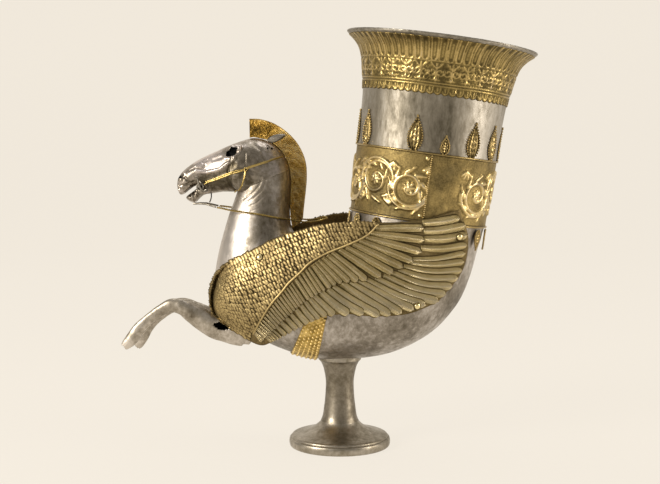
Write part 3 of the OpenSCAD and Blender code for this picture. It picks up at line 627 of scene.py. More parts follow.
# The band's ends meet under a beaded wire.
bm = bmesh.new()
layer = bm.verts.layers.float.new("soil_and_painted_light")
for k in range(32):
    bead = bmesh.ops.create_icosphere(bm, subdivisions=2, radius=1.35)["verts"]
    bmesh.ops.translate(bm, vec=on_horn(0, 2.6 + 2.95 * k, 2.0), verts=bead)
    for b in bead:
        b[layer] = 0.0
bead = bmesh.ops.create_cone(bm, cap_ends=True, segments=12, radius1=0.8, radius2=0.8, depth=93)["verts"]
seam_foot, seam_head = on_horn(0, 2, 1.7), on_horn(0, 95, 1.7)
lean = (seam_head - seam_foot).to_track_quat("Z", "Y").to_matrix().to_4x4()
bmesh.ops.transform(bm, verts=bead, matrix=Matrix.Translation((seam_head + seam_foot) / 2) @ lean)
for b in bead:
    b[layer] = 0.5
finish_piece("seam_beaded", bm, frieze_gilt, "gilt_silver", "frieze_seam_wire")


# ---- Palmettes ----------------------------------------------------------------------
# Small gilt plates stand on the frieze and hang below it: a bossed leaf inside a border of
# beads. One is missing on the near side and one is broken down to a stub.

# Dull gilding of the small plates, dirt and painted shade in every hollow
palmette_gilt = gilding("gilding_palmette_dull", "#C9B077", "#87744A", "#3F3520", worn=0.3)


def palmette(bm, angle, foot, width, height, up=1):
    """A beaded leaf on the horn with its foot at that height; up is -1 for one that hangs."""
    def half(v):
        return width / 2 * (math.sin(math.pi * min(1, v * 1.05) ** 0.72) ** 0.8 * 0.92 + 0.08) * (1 - v ** 6)

    def place(u, v, lift=0.0):
        a = 2 * u - 1
        boss = (1 - abs(a) ** 3) * math.sin(math.pi * min(1, 0.15 + v * 0.85))
        rise = 0.7 + 1.3 * boss + lift
        rise += 0.7 * math.cos(a * 12) * (1 - v) ** 0.4 + 0.5 * math.cos(v * 42) * (abs(a) < 0.4)
        h = foot + up * v * height
        return on_horn(angle + math.degrees(a * half(v) / 104), h, rise)
    verts = lay_grid(bm, 18, 40, place, turn=up < 0)
    dirt_and_shade = bm.verts.layers.float.get("soil_and_painted_light")
    away = horn_axis.inverted()
    for v in verts:
        p = away @ v.co
        wall = float(np.interp(p.z, horn_line[:, 0], horn_line[:, 1]))
        # The lower a part lies on the horn, the darker: dirt and painted shade in the hollows
        v[dirt_and_shade] = 0.62 - 0.3 * (math.hypot(p.x, p.y) - wall)
    beads = 14
    for side in (0, 1):
        for k in range(beads + (side == 0)):
            v = (k + 0.3) / beads
            ball = bmesh.ops.create_icosphere(bm, subdivisions=1, radius=1.6)["verts"]
            bmesh.ops.translate(bm, vec=place(side, min(v, 0.99), 0.5), verts=ball)
            for b in ball:
                b[dirt_and_shade] = -0.12


PALMETTES = 15
LOST = 13
BROKEN = 0
bm = bmesh.new()
for k in range(PALMETTES):
    if k == LOST:
        continue
    if k == BROKEN:
        palmette(bm, 9, 98.6, 12, 27)
        continue
    palmette(bm, 9 + 24 * k, 98.6, 21, 51)
finish_piece("palmettes_standing", bm, palmette_gilt, "gilt_silver", "palmettes_upper", thick=0.5)
bm = bmesh.new()
for k in range(PALMETTES):
    palmette(bm, 9 + 24 * k, -4.5, 14, 30, -1)
finish_piece("palmettes_hanging", bm, palmette_gilt, "gilt_silver", "palmettes_lower", thick=0.5)


# ---- Girdle --------------------------------------------------------------------------
# A gilt band over the joint of belly and chest, punched from behind into rows of round pellets.
# It is burnished down on both skins, and a dark rivet on each side holds it under the wing.

# The yellowest gilding, sheltered under the wings
girdle_gilt = gilding("gilding_girdle_bright", "#EBCD84", "#B89B55", "#5A4A22", worn=0.15, matt=0.3)
bm = bmesh.new()
lay_grid(bm, 200, 14, lambda u, v: section_at(BODY, 12.38 + 1.22 * v, 360 * u, 2.1),
         lambda p: 0.14 + 0.3 * noise.noise(p / 9), turn=True)
bmesh.ops.remove_doubles(bm, verts=bm.verts, dist=0.01)
dirt_and_shade = bm.verts.layers.float.get("soil_and_painted_light")
PELLET_ROWS = 6
PELLETS = 84
for row in range(PELLET_ROWS):
    for k in range(PELLETS):
        centre = section_at(BODY, 12.48 + row * 0.205, 4.2857 * k + 2.1 * (row % 2), 1.7)
        ball = bmesh.ops.create_icosphere(bm, subdivisions=2, radius=1.95)["verts"]
        bmesh.ops.translate(bm, vec=centre, verts=ball)
        for b in ball:
            b[dirt_and_shade] = -0.16
finish_piece("girdle_pelleted", bm, girdle_gilt, "gilt_silver", "girdle_band", crease=60)


# ---- Wings ---------------------------------------------------------------------------
# Each wing is one embossed gilt sheet, held by three domed rivets: small scales on its front,
# two tiers of quills behind a raised shaft. Dirt and painted shade darken the gaps between the feathers.
WING = [
    [[-191.8, 17, 238.5], [-191.8, 21, 230], [-191, 26, 221], [-187.5, 32, 210]],
    [[-182, 35, 267], [-184.5, 43, 240], [-183.5, 47, 220], [-180, 46, 203]],
    [[-158.5, 55, 289], [-159, 67, 250], [-157.5, 66, 212], [-151, 57, 181]],
    [[-124.5, 65, 307], [-124, 78, 258], [-122, 76, 208], [-120, 60, 165]],
    [[-90, 70, 325], [-90, 85, 272], [-92, 87, 222], [-100, 69, 171]],
    [[-50, 82, 339], [-52, 91, 290], [-58, 91, 241], [-72, 81, 190]],
    [[-12, 101, 348], [-14, 97, 302], [-22, 95, 255], [-40, 92.5, 208]],
    [[30, 108, 351], [26, 103, 306], [16, 99.5, 261], [5, 97, 216]],
    [[75, 108, 350], [71, 105.5, 304], [62, 103, 258], [50, 99.5, 213]],
    [[122, 108.5, 355], [120, 107, 309], [110, 104.5, 262], [98, 99, 217]],
    [[171, 97, 368], [185, 87, 324], [177, 79, 276], [142, 85, 232]]
]


def wing_at(u, v):
    """Point of the left wing's inner face, u from the breast to the tip, v from the top edge down."""
    x, y, z = curve([curve(column, v * 3) for column in WING], u * 10)
    return Vector((x, -y, z))


# Gilding of the wing sheet and its scales, darkened between them by dirt and painted shade
wing_gilt = gilding("gilding_wing_sheet", "#C6B07A", "#97835A", "#453A22", worn=0.15, matt=0.38)
# Gilding of the quills, with their slanting barbs
quill_gilt = gilding("gilding_quills_barbed", "#E8D6A8", "#B8A471", "#473C25", worn=0.35, barbs=2.6,
                      matt=0.3)

bm = bmesh.new()
# The sheet seen in the gaps between feathers is darker, dirt and painted shade, except at its front end
lay_grid(bm, 150, 48, wing_at, lambda p: 0.3 if p.x > -178 else 0.04)
bmesh.ops.recalc_face_normals(bm, faces=bm.faces)
if bm.faces[0].normal.y > 0:
    bmesh.ops.reverse_faces(bm, faces=bm.faces)
wing_tree = BVHTree.FromBMesh(bm)
WING_SHEET = 1.0
for v in bm.verts:
    v.co += v.normal * WING_SHEET
wing_skin = bm


def on_wing(x, z, lift):
    """Point on the left wing's outer face seen from the side at x, z, raised off the sheet."""
    hit, normal, _, _ = wing_tree.ray_cast(Vector((x, -400, z)), Vector((0, 1, 0)))
    if hit is None:
        near, normal, _, _ = wing_tree.find_nearest(Vector((x, -95, z)))
        y = near.y - (normal.x * (x - near.x) + normal.z * (z - near.z)) / min(normal.y, -0.35)
        hit = Vector((x, y, z))
    if normal.y > 0:
        normal = -normal
    return hit + normal * (WING_SHEET + lift)


def feather(bm, path, width, lift, steps, tilt=0.5, rim=0.0, blunt=0.86):
    """One quill on the wing: path holds its root, middle and tip as x, z; rim raises its border."""
    uv = bm.loops.layers.uv.verify()
    dirt_and_shade = bm.verts.layers.float.get("soil_and_painted_light") or bm.verts.layers.float.new("soil_and_painted_light")
    start = len(bm.faces)
    verts = bmesh.ops.create_grid(bm, x_segments=8, y_segments=steps, size=0.5)["verts"]
    flat = {v: (v.co.x * 2, v.co.y + 0.5) for v in verts}
    bm.faces.ensure_lookup_table()
    length = sum(math.dist(a, b) for a, b in zip(path, path[1:]))
    for face in bm.faces[start:]:
        for loop in face.loops:
            a, b = flat[loop.vert]
            loop[uv].uv = (a * width / 200, b * length / 100)
    n = len(path) - 1
    for v, (a, b) in flat.items():
        x, z = curve(path, b * n)
        ahead = curve(path, min(b * n + 0.02, n))
        behind = curve(path, max(b * n - 0.02, 0))
        run = math.dist(ahead, behind)
        dx, dz = (ahead[0] - behind[0]) / run, (ahead[1] - behind[1]) / run
        half = width / 2 * (0.72 + 0.28 * min(1, b * 2))
        if b > blunt:
            half *= math.sqrt(max(0.0, 1 - ((b - blunt) / (1 - blunt)) ** 2))
        shaft = 0.75 * max(0.0, 1 - abs(a) * 4.2)
        camber = 0.8 * (1 - a * a)
        border = rim * max(0.0, 1 - abs(abs(a) - 0.82) * 6)
        end = rim * max(0.0, 1 - abs(b - 0.965) * 30) if rim else 0.0
        height = lift + camber + shaft + max(border, end) + tilt * a + 0.5 * b
        v.co = on_wing(x - dz * half * a, z + dx * half * a, height)
        # Quill edges and root, where the next quill overlaps, are darker: dirt and painted shade. Shaft and
        # rim are lighter, and so are the lower quills.
        v[dirt_and_shade] = 0.06 - 0.42 * shaft - 0.5 * max(border, end) + 0.9 * abs(a) ** 5 + 0.1 * (b < 0.06) \
            - 0.22 * min(1.0, max(0.0, (285 - z) / 50))
    bmesh.ops.reverse_faces(bm, faces=bm.faces[start:])


# Root x, z and tip x, z of the first tier, with the quills up to the next row.
TIER_ONE = [
    [50.6, 342.1, 118.7, 342.2, 1], [43.8, 334.4, 120.4, 324.9, 1], [36.6, 328.6, 115.9, 307.7, 1],
    [27.7, 323.9, 104.5, 294.1, 1], [18.8, 319.2, 90.5, 285.1, 1], [8.6, 314.1, 77, 276.6, 2],
    [-11.9, 306, 38.2, 265.9, 3], [-31.2, 294.6, 2.3, 261.3, 3], [-45.5, 283.5, -22.2, 249.5, 5],
    [-70.1, 261.2, -50.8, 232.5, 8], [-98.1, 227.9, -80.9, 206.6, 9], [-122.6, 191.1, -108, 178, 4],
    [-127, 184, -117, 169.5, 1]
]
# Root, middle and tip x, z of the long quills, with the quills up to the next row.
TIER_TWO = [
    [116.8, 349.3, 144.1, 351, 171, 355, 1], [118.2, 337.8, 146.8, 338.6, 180.3, 344.4, 1],
    [118.3, 326.3, 148.3, 325.7, 183, 330.4, 1], [114.6, 313.5, 147.3, 311.5, 183, 316, 1],
    [103.2, 296.4, 139.7, 296, 180.5, 303.9, 1], [98, 292.4, 136.2, 287.6, 179.5, 291.2, 1],
    [90.5, 286.3, 132.2, 277.6, 177, 278.2, 1], [83, 281, 126, 268.5, 171, 266.5, 1],
    [74, 277, 118, 259.5, 163, 254.6, 1], [62, 273, 110, 252, 153, 243.6, 1],
    [50, 269, 97, 247, 142, 233.6, 1], [36.9, 266.9, 80, 243.9, 123, 228.8, 1],
    [26, 264.5, 66, 242.5, 106, 223, 1], [14, 262.6, 50, 240.8, 88.7, 217.9, 1],
    [2.3, 261.1, 34.9, 238, 72.7, 215.4, 1], [-10.6, 255.9, 20, 234.4, 56.9, 214.3, 1],
    [-18, 252, 6, 232.1, 33.7, 216.8, 2], [-37.8, 242, -22.2, 226.6, -8.9, 214.8, 2],
    [-50.7, 233.9, -40.4, 219.6, -30.3, 208.8, 3], [-72, 215, -63, 203.9, -55.2, 196.3, 4],
    [-100, 192, -92, 184, -86, 178, 5],
    [-112, 180, -108, 173, -104, 169, 1]
]


def fan(rows):
    """All quills of a tier between its listed rows, as path and spacing to the next."""
    out = []
    for k in range(len(rows) - 1):
        for j in range(int(rows[k][-1])):
            t = k + j / rows[k][-1]
            row = curve([r[:-1] for r in rows], t)
            after = curve([r[:-1] for r in rows], min(t + 1 / rows[k][-1], len(rows) - 1))
            gap = math.dist(row[-2:], after[-2:])
            out.append(([row[i:i + 2] for i in range(0, len(row), 2)], gap))
    return out


quills = bmesh.new()
for path, gap in reversed(fan(TIER_TWO)):
    feather(quills, path, min(15.5, max(5.5, gap * 1.12)), 0.2, 26, tilt=0.8, rim=0.25, blunt=0.88)
for path, gap in reversed(fan(TIER_ONE)):
    feather(quills, path, min(13.5, max(4.2, gap * 1.02)), 1.3, 18, tilt=0.35, rim=0.65, blunt=0.9)

# Shaft: the raised cord between scales and quills
SHAFT = [(-127.6, 183), (-115.1, 205.7), (-100.2, 229.2), (-84.4, 248), (-74, 261.1), (-58.4, 275.5),
         (-42.9, 290.8), (-17.1, 306), (16.2, 320.2), (39.2, 332.5), (54.4, 348)]
scales = bmesh.new()
dirt_and_shade = scales.verts.layers.float.new("soil_and_painted_light")


def cord_on_wing(bm, path, width, height, steps):
    start = len(bm.faces)
    verts = bmesh.ops.create_grid(bm, x_segments=6, y_segments=steps, size=0.5)["verts"]
    layer = bm.verts.layers.float.get("soil_and_painted_light")
    bm.faces.ensure_lookup_table()
    n = len(path) - 1
    for v in verts:
        a, b = v.co.x * 2, v.co.y + 0.5
        x, z = curve(path, b * n)
        ahead, behind = curve(path, min(b * n + 0.02, n)), curve(path, max(b * n - 0.02, 0))
        run = math.dist(ahead, behind)
        dx, dz = (ahead[0] - behind[0]) / run, (ahead[1] - behind[1]) / run
        v.co = on_wing(x - dz * width / 2 * a, z + dx * width / 2 * a,
                       0.1 + height * math.sqrt(max(0.0, 1 - a * a)))
        # Darker where the cord meets the sheet: dirt and painted shade; lighter along its top
        v[layer] = 0.3 - 0.35 * math.sqrt(max(0.0, 1 - a * a))
    bmesh.ops.reverse_faces(bm, faces=bm.faces[start:])


cord_on_wing(scales, SHAFT, 4.2, 3.2, 90)


def scale_feather(bm, x, z, aim, size, dull):
    """A small U-shaped feather with a central stroke, its round tip pointing along aim."""
    start = len(bm.faces)
    verts = bmesh.ops.create_grid(bm, x_segments=4, y_segments=4, size=0.5)["verts"]
    layer = bm.verts.layers.float.get("soil_and_painted_light")
    bm.faces.ensure_lookup_table()
    for v in verts:
        a, b = v.co.x * 2, v.co.y + 0.5
        half = size * 0.5 * (math.sqrt(max(0.0, 1 - ((b - 0.5) / 0.5) ** 2)) if b > 0.5 else 1)
        along = (b - 0.4) * size * 1.5
        side = half * a
        edge = 1 if abs(a) > 0.9 or b > 0.95 else 0
        middle = 1 if abs(a) < 0.1 and 0.2 < b < 0.8 else 0
        height = 0.2 + 0.9 * b + (0.0 if edge else 0.45) + 0.2 * middle
        v.co = on_wing(x + aim[0] * along - aim[1] * side, z + aim[1] * along + aim[0] * side, height)
        # Low borders and the root end under the next scale are darker: dirt and painted shade
        v[layer] = dull + (0.42 if edge else (-0.1 if middle else 0.08 + 0.14 * (1 - b)))
    bmesh.ops.reverse_faces(bm, faces=bm.faces[start:])


def shaft_side(x, z):
    """Above 0 on the scaly side of the shaft."""
    best = min(range(len(SHAFT) - 1), key=lambda i: math.dist(
        (x, z), ((SHAFT[i][0] + SHAFT[i + 1][0]) / 2, (SHAFT[i][1] + SHAFT[i + 1][1]) / 2)))
    (x0, z0), (x1, z1) = SHAFT[best], SHAFT[best + 1]
    return ((x1 - x0) * (z - z0) - (z1 - z0) * (x - x0)) / math.dist((x0, z0), (x1, z1))


dice = np.random.default_rng(5)
for row in range(38):
    for k in range(64):
        u = 0.012 + 0.0124 * (k + 0.5 * (row % 2))
        v = (0.02 + 0.047 * row) * (1 if u > 0.1 else 0.7 + 3 * u)
        if v > 0.97 or u > 0.78:
            continue
        p = wing_at(u, min(v, 1))
        if shaft_side(p.x, p.z) < 2.5 or p.x > 60:
            continue
        down = wing_at(u, min(v + 0.05, 1)) - wing_at(u, max(v - 0.05, 0))
        aim = Vector((down.x + 0.55 * abs(down.z), down.z * 0.75)).normalized()
        size = (7.4 if row < 4 and u < 0.42 else 6.0) * dice.uniform(0.86, 1.14)
        aim.rotate(Matrix.Rotation(dice.normal(0, 0.16), 2))
        scale_feather(scales, p.x + dice.normal(0, 0.55), p.z + dice.normal(0, 0.55), aim, size,
                      dice.normal(0.04, 0.07))


def both_wings(name, bm, metal, *stands_for, thick=0.0, crease=60):
    """The left piece as built and its mirror on the right."""
    twin = bm.copy()
    bmesh.ops.mirror(twin, geom=twin.verts[:] + twin.edges[:] + twin.faces[:], axis="Y", merge_dist=-1)
    bmesh.ops.delete(twin, geom=[v for v in twin.verts if v.co.y < 0], context="VERTS")
    finish_piece(name + "_left", bm, metal, "gilt_silver", *[s + "_left" for s in stands_for],
                 thick=thick, crease=crease)
    finish_piece(name + "_right", twin, metal, "gilt_silver", *[s + "_right" for s in stands_for],
                 thick=thick, crease=crease)


both_wings("wing_sheet", wing_skin, wing_gilt, "wing", thick=WING_SHEET)
both_wings("wing_quills", quills, quill_gilt, thick=0.5)
both_wings("wing_scales", scales, wing_gilt, thick=0.4)


# ---- Head ----------------------------------------------------------------------------
# The head is raised from one silver sheet and chased: sharp cheek crests, a round jaw, empty
# sockets that once held inlaid eyes. Skull and lower jaw are joined, then the folds are chased in.
HEAD = [
    [-76, 423, -155, 389, 33.5], [-83, 442, -158, 389, 33], [-94, 456, -163, 389, 33],
    [-110, 466, -169, 389, 33.5], [-130, 470, -176, 389, 33.5], [-149.6, 465.1, -184, 388, 32],
    [-167.5, 458.5, -193, 386.5, 28.5], [-185, 450.7, -202, 385.5, 25],
    [-200, 444, -209, 387, 23], [-214, 437, -216, 398, 22], [-227, 428.5, -226, 393, 21.5],
    [-238, 419, -235, 386, 19], [-244.5, 409, -241, 384.5, 15], [-246, 402, -243.5, 388, 9]
]
JAW = [
    [-190, 404, -194, 387.2, 20], [-203, 401, -205, 384.5, 19], [-213, 396.5, -212.5, 378.5, 17],
    [-221, 390.5, -219.5, 372.5, 15.5], [-228, 385.5, -227, 374.5, 12.5],
    [-232.5, 381.8, -231.5, 377.5, 7]
]
# The head's silver, the brightest of all, with a painted highlight on the nose bridge above the cheek crest
head_silver = silver_metal("silver_chased_head", "#DCD0C8", "#9A9082", "#544C3D", hammer=9)

# Near-black painted shade for the inside of the hollow sheets, seen through sockets and tears
hollow_painted_shade, tree = new_material("painted_shade_black_hollow")
inside = add(tree, "ShaderNodeTexCoord").outputs["Object"]
shade_mottle = add(tree, "ShaderNodeTexNoise", {"Vector": inside, "Scale": 1000 / 3.3})
dark = add(tree, "ShaderNodeMapRange", {"Value": shade_mottle.outputs[0], "To Min": 0.004, "To Max": 0.016})
black = add(tree, "ShaderNodeBsdfPrincipled", {"Base Color": dark.outputs[0], "Roughness": 0.9,
                                              "Specular IOR Level": 0.1})
add(tree, "ShaderNodeOutputMaterial", {0: black.outputs[0]})


def closed_form(bm, sections, around, along):
    """A closed form through all sections, with its two ends filled."""
    n = len(sections) - 1
    fresh = lay_grid(bm, around, along, lambda u, v: section_at(sections, n * v, 360 * u))
    bmesh.ops.remove_doubles(bm, verts=fresh, dist=0.01)
    bmesh.ops.holes_fill(bm, edges=[e for e in bm.edges if e.is_boundary], sides=0)


def melted(bm, size):
    """The closed forms of a mesh melted into one skin of that grid size in mm."""
    bmesh.ops.recalc_face_normals(bm, faces=bm.faces)
    mesh = bpy.data.meshes.new("lump")
    bm.to_mesh(mesh)
    bm.free()
    lump = bpy.data.objects.new("lump", mesh)
    scene.collection.objects.link(lump)
    melt = lump.modifiers.new("melt", "REMESH")
    melt.mode = "VOXEL"
    melt.voxel_size = size
    bpy.context.view_layer.update()
    shape = bpy.data.meshes.new_from_object(lump.evaluated_get(bpy.context.evaluated_depsgraph_get()))
    bpy.data.objects.remove(lump)
    bpy.data.meshes.remove(mesh)
    out = bmesh.new()
    out.from_mesh(shape)
    bpy.data.meshes.remove(shape)
    return out


def lump_at(bm, centre, radii):
    """A smooth swelling: a ball drawn out to three radii, on both sides of the head."""
    for side in (-1, 1):
        ball = bmesh.ops.create_icosphere(bm, subdivisions=3, radius=1)["verts"]
        bmesh.ops.scale(bm, vec=radii, verts=ball)
        bmesh.ops.translate(bm, vec=(centre[0], side * centre[1], centre[2]), verts=ball)


bm = bmesh.new()
closed_form(bm, HEAD, 64, 60)
closed_form(bm, JAW, 40, 30)
lump_at(bm, (-156, 19, 453.5), (13, 11, 7))
lump_at(bm, (-236, 12, 407), (8, 7.5, 7))
lump_at(bm, (-206, 15, 391), (11, 7, 6))
lump_at(bm, (-143, 22, 415), (25, 13, 25))
bm = melted(bm, 0.85)
bmesh.ops.smooth_vert(bm, verts=bm.verts, factor=0.5, use_axis_x=True, use_axis_y=True, use_axis_z=True)
CHEEK = [(-160.9, 440.4), (-166.2, 425.5), (-167.8, 410.6), (-162.7, 397.2), (-152.3, 389)]
chase(bm, WRINKLES + [
    ([(-216, 421), (-199.8, 418.5), (-179.5, 423.1), (-166, 433), (-157, 440)], 4.2, 1.9),
    ([(-206, 411), (-188, 413), (-173, 419), (-160, 430)], 9.0, -2.2),
    ([(-172, 439), (-164, 440), (-156, 443), (-150, 449), (-149, 457)], 3.4, 1.6),
    ([(-149, 457), (-158, 461), (-170, 457)], 3.0, 1.2), (CHEEK, 2.8, -1.5),
    ([(-213.6, 424), (-207, 424.5), (-202, 429)], 2.4, -1.6),
    ([(-205, 433), (-199, 437)], 2.6, -0.9), ([(-190, 437), (-178, 441)], 4, -0.8),
    ([(-226, 421), (-217, 426)], 3.0, -0.9), ([(-140.6, 447), (-140.7, 429)], 1.5, -0.7),
    ([(-245, 413), (-240, 418.5), (-233, 417)], 2.6, 1.2), ([(-232, 411), (-226, 405)], 3, -1.4),
    ([(-242, 399), (-232, 400), (-219, 405)], 2.4, -1.5), ([(-243, 392), (-235, 390), (-226, 398)], 3, 1.5),
    ([(-212, 408), (-204, 404), (-198, 398)], 2.2, -1.4), ([(-209, 404), (-201, 399)], 2.0, 1.0),
    ([(-226, 388), (-224.5, 377)], 1.5, -1.2), ([(-220.5, 390), (-219, 377)], 1.5, -1.2),
    ([(-215, 392), (-213, 380)], 1.5, -1.2), ([(-223, 389), (-222, 377)], 1.3, 0.7),
    ([(-217.8, 390), (-216, 379)], 1.3, 0.7), ([(-209, 386), (-191, 391), (-170, 393)], 3.4, 1.1),
    ([(-198, 402), (-184, 405), (-172, 404)], 3.2, -0.9), ([(-130, 462), (-118, 452), (-112, 436)], 4, -0.7),
    ([(-136, 455), (-128, 440)], 5, 0.35)])
bmesh.ops.smooth_vert(bm, verts=bm.verts, factor=0.35, use_axis_x=True, use_axis_y=True, use_axis_z=True)


def open_pocket(bm, outline, depth, sides=(-1, 1)):
    """Sinks a pocket into the skin where the outline, in x and z, lies on the head's side, lined with the
    black of painted shade.
    """
    def within(x, z):
        hit = False
        for (x0, z0), (x1, z1) in zip(outline, outline[1:] + outline[:1]):
            if (z0 > z) != (z1 > z) and x < (x1 - x0) * (z - z0) / (z1 - z0) + x0:
                hit = not hit
        return hit
    for side in sides:
        bm.normal_update()
        faces = []
        for f in bm.faces:
            c = f.calc_center_median()
            if f.normal.y * side > 0.12 and within(c.x, c.z):
                faces.append(f)
        if not faces:
            continue
        sunk = bmesh.ops.extrude_face_region(bm, geom=faces)["geom"]
        bmesh.ops.translate(bm, vec=(0, -side * depth, -depth * 0.2),
                            verts=[g for g in sunk if isinstance(g, bmesh.types.BMVert)])
        new_faces = {g for g in sunk if isinstance(g, bmesh.types.BMFace)}
        for f in new_faces:
            f.material_index = 1
            for e in f.edges:
                for g in e.link_faces:
                    g.material_index = 1
        cover = [f for f in faces if f.is_valid]
        bmesh.ops.delete(bm, geom=cover, context="FACES_KEEP_BOUNDARY")


# The sockets that once held inlaid eyes, the nostrils and two small nail holes under each ear
EYE = [(-170.5, 443.3), (-169.5, 450), (-165, 452), (-162, 457.2), (-152.2, 455.6), (-154, 450),
       (-156.5, 446), (-161.4, 443.4), (-166, 442.5)]
open_pocket(bm, EYE, 7)
open_pocket(bm, [(-243, 409.5), (-243.5, 413.5), (-238.8, 413.8), (-236.5, 411)], 3.5)
for hole_x in (-108, -102):
    open_pocket(bm, [(hole_x - 1.7, 454), (hole_x, 456.4), (hole_x + 1.7, 454.4), (hole_x, 452.4)], 2.5)
head_layer = bm.verts.layers.float.get("soil_and_painted_light")
# Painted shade on the round jaw, under the cheek crest, on the lower muzzle and round the nostril; a painted
# highlight above the crest
for v in bm.verts:
    p = v.co
    v[head_layer] += 0.46 * spot(p, (-146, 418), (44, 40)) + 0.34 * spot(p, (-225, 394), (30, 22)) \
        + 0.42 * spot(p, (-186, 404), (34, 15)) - 0.46 * spot(p, (-192, 436), (34, 20)) \
        + 0.35 * spot(p, (-239, 411), (9, 7))
head_tree = BVHTree.FromBMesh(bm)
head = finish_piece("head_chased", bm, head_silver, "aged_silver", "head_shell", crease=70)
# The pockets take the second material: painted shade
head.data.materials.append(hollow_painted_shade)


# ---- Ears ----------------------------------------------------------------------------
# Two folded silver leaves laid back against the mane and soldered to the head, grey with age.
# Each is hollow along its front.

# Grey silver of the ears
ear_silver = silver_metal("silver_ear_grey", "#C4BEB4", "#938C80", "#554E42", hammer=5)
bm = bmesh.new()
for side in (-1, 1):
    def ear_place(u, v, side=side):
        w = 4.9 * math.sin(math.pi * (v * 0.87 + 0.07) ** 0.8)
        a = 2 * u - 1
        x, y, z = [p + (q - p) * v for p, q in zip((-108.5, -14, 465.4), (-82, -16.4, 474.5))]
        return Vector((x - 0.34 * a * w, side * -(y - 2.0 + 2.4 * a * a - 0.5 * math.exp(-30 * a * a)),
                       z + 0.94 * a * w))
    lay_grid(bm, 16, 26, ear_place, lambda p: 0.1, turn=side > 0)
finish_piece("ears_folded", bm, ear_silver, "aged_silver", "ear_left", "ear_right", thick=0.9)


# ---- Mane ----------------------------------------------------------------------------
# A clipped mane: one gilt sheet folded along its crest, cut with fine strokes across, with a
# plain rim. The tuft over the brow is darker and has a beaded front edge.
MANE = [
    [-136, 470.6, -136.5, 499], [-124, 471.6, -120, 498.3], [-110.5, 467.6, -100.5, 492.4],
    [-98, 460.3, -83, 481.6], [-88.2, 450.5, -67, 466], [-80.8, 438.5, -56.5, 448.4],
    [-75.7, 424, -51, 430.4], [-73.6, 407, -50, 410], [-73.6, 391, -51.5, 390.5],
    [-74.6, 376, -53.5, 373], [-75.1, 362, -55, 359], [-74.6, 350, -56, 349],
    [-73.4, 341.5, -57.3, 345.5], [-71.8, 334.5, -58.2, 343.3]
]
# Warm gilding of the mane, brushed across
mane_gilt = gilding("gilding_mane_brushed", "#ECCB80", "#C39C48", "#5E4A22", worn=0.25, barbs=3.0, matt=0.42)


def mane_place(u, v):
    k = curve(MANE, (len(MANE) - 1) * v)
    a = 1 - abs(2 * u - 1)
    side = -1 if u < 0.5 else 1
    half = 0.5 + 2.9 * (1 - a) ** 0.45
    rim = 0.5 if 0.9 <= a < 0.99 or a < 0.1 else 0.0
    dent = -1.6 * math.exp(-((v - 0.157) / 0.016) ** 2) * math.exp(-((a - 0.6) / 0.4) ** 2)
    if 0.1 <= a < 0.9:
        dent += 0.24 * math.sin(640 * v + 5 * a + 3 * noise.noise(Vector((v * 60, a * 2, side))))
    return Vector((k[0] + (k[2] - k[0]) * a, side * (half + rim + dent), k[1] + (k[3] - k[1]) * a))


def mane_soil(p):
    return -0.12 + 0.45 * noise.noise(Vector((p.x / 2.6, 0, p.z / 1.4))) + 0.3 * noise.noise(p / 14) \
        + 0.5 * spot(p, (-128, 484), (44, 34))


bm = bmesh.new()
lay_grid(bm, 36, 480, mane_place, mane_soil)
strokes = bm.loops.layers.uv.verify()
for f in bm.faces:
    for loop in f.loops:
        a, v = loop[strokes].uv
        loop[strokes].uv = ((1 - abs(2 * a - 1)) * 0.03, v * 3.5)
bmesh.ops.holes_fill(bm, edges=[e for e in bm.edges if e.is_boundary], sides=0)
layer = bm.verts.layers.float.get("soil_and_painted_light")
for k in range(11):
    ball = bmesh.ops.create_icosphere(bm, subdivisions=2, radius=1.5)["verts"]
    bmesh.ops.translate(bm, vec=(-134.6, 0, 472.6 + k * 2.35), verts=ball)
    for b in ball:
        b[layer] = -0.25
bmesh.ops.recalc_face_normals(bm, faces=bm.faces)
finish_piece("mane_folded", bm, mane_gilt, "gilt_silver", "mane_crest", crease=50)


# ---- Forelegs ------------------------------------------------------------------------
# Bent legs of thin silver tube, stretched out in a leap. Both hooves are broken off, and the
# sheet is torn open where each leg leaves the breast.
SHOULDER = Vector((-150, 0, 183))
LEG = [
    [-121, 168, 8, 6], [-128, 173, 16, 10], [-138, 179.7, 22.5, 12.5], [-152.8, 183.4, 24.5, 13],
    [-170.8, 185.7, 22, 12.5], [-187.5, 188.5, 19, 11.5], [-205.1, 197.7, 17, 11],
    [-220.7, 207.3, 14.8, 10.5], [-233.4, 215.9, 12, 10], [-244.3, 219.4, 10.4, 9.5],
    [-255.2, 218.9, 9.6, 9], [-269.3, 211.7, 8.3, 7.5], [-286.7, 199.3, 7.6, 7],
    [-299.9, 186.8, 8.9, 8], [-307.2, 176.6, 9.8, 8.5], [-313, 169, 9.6, 8.5],
    [-319.5, 162.2, 8.2, 7], [-326, 156, 5.2, 4.5]
]
# Brownish silver of the legs, pale where they are broken off
leg_silver = silver_metal("silver_leg_brown", "#D4CABD", "#A29888", "#655B4B", hammer=9, matt=0.34)


def leg_soil(p):
    pale = 0.55 * spot(p, (-322, 160), (15, 14))
    return 0.2 * spot(p, (-265, 210), (50, 30)) + 0.3 * spot(p, (-222, 206), (12, 12)) - pale


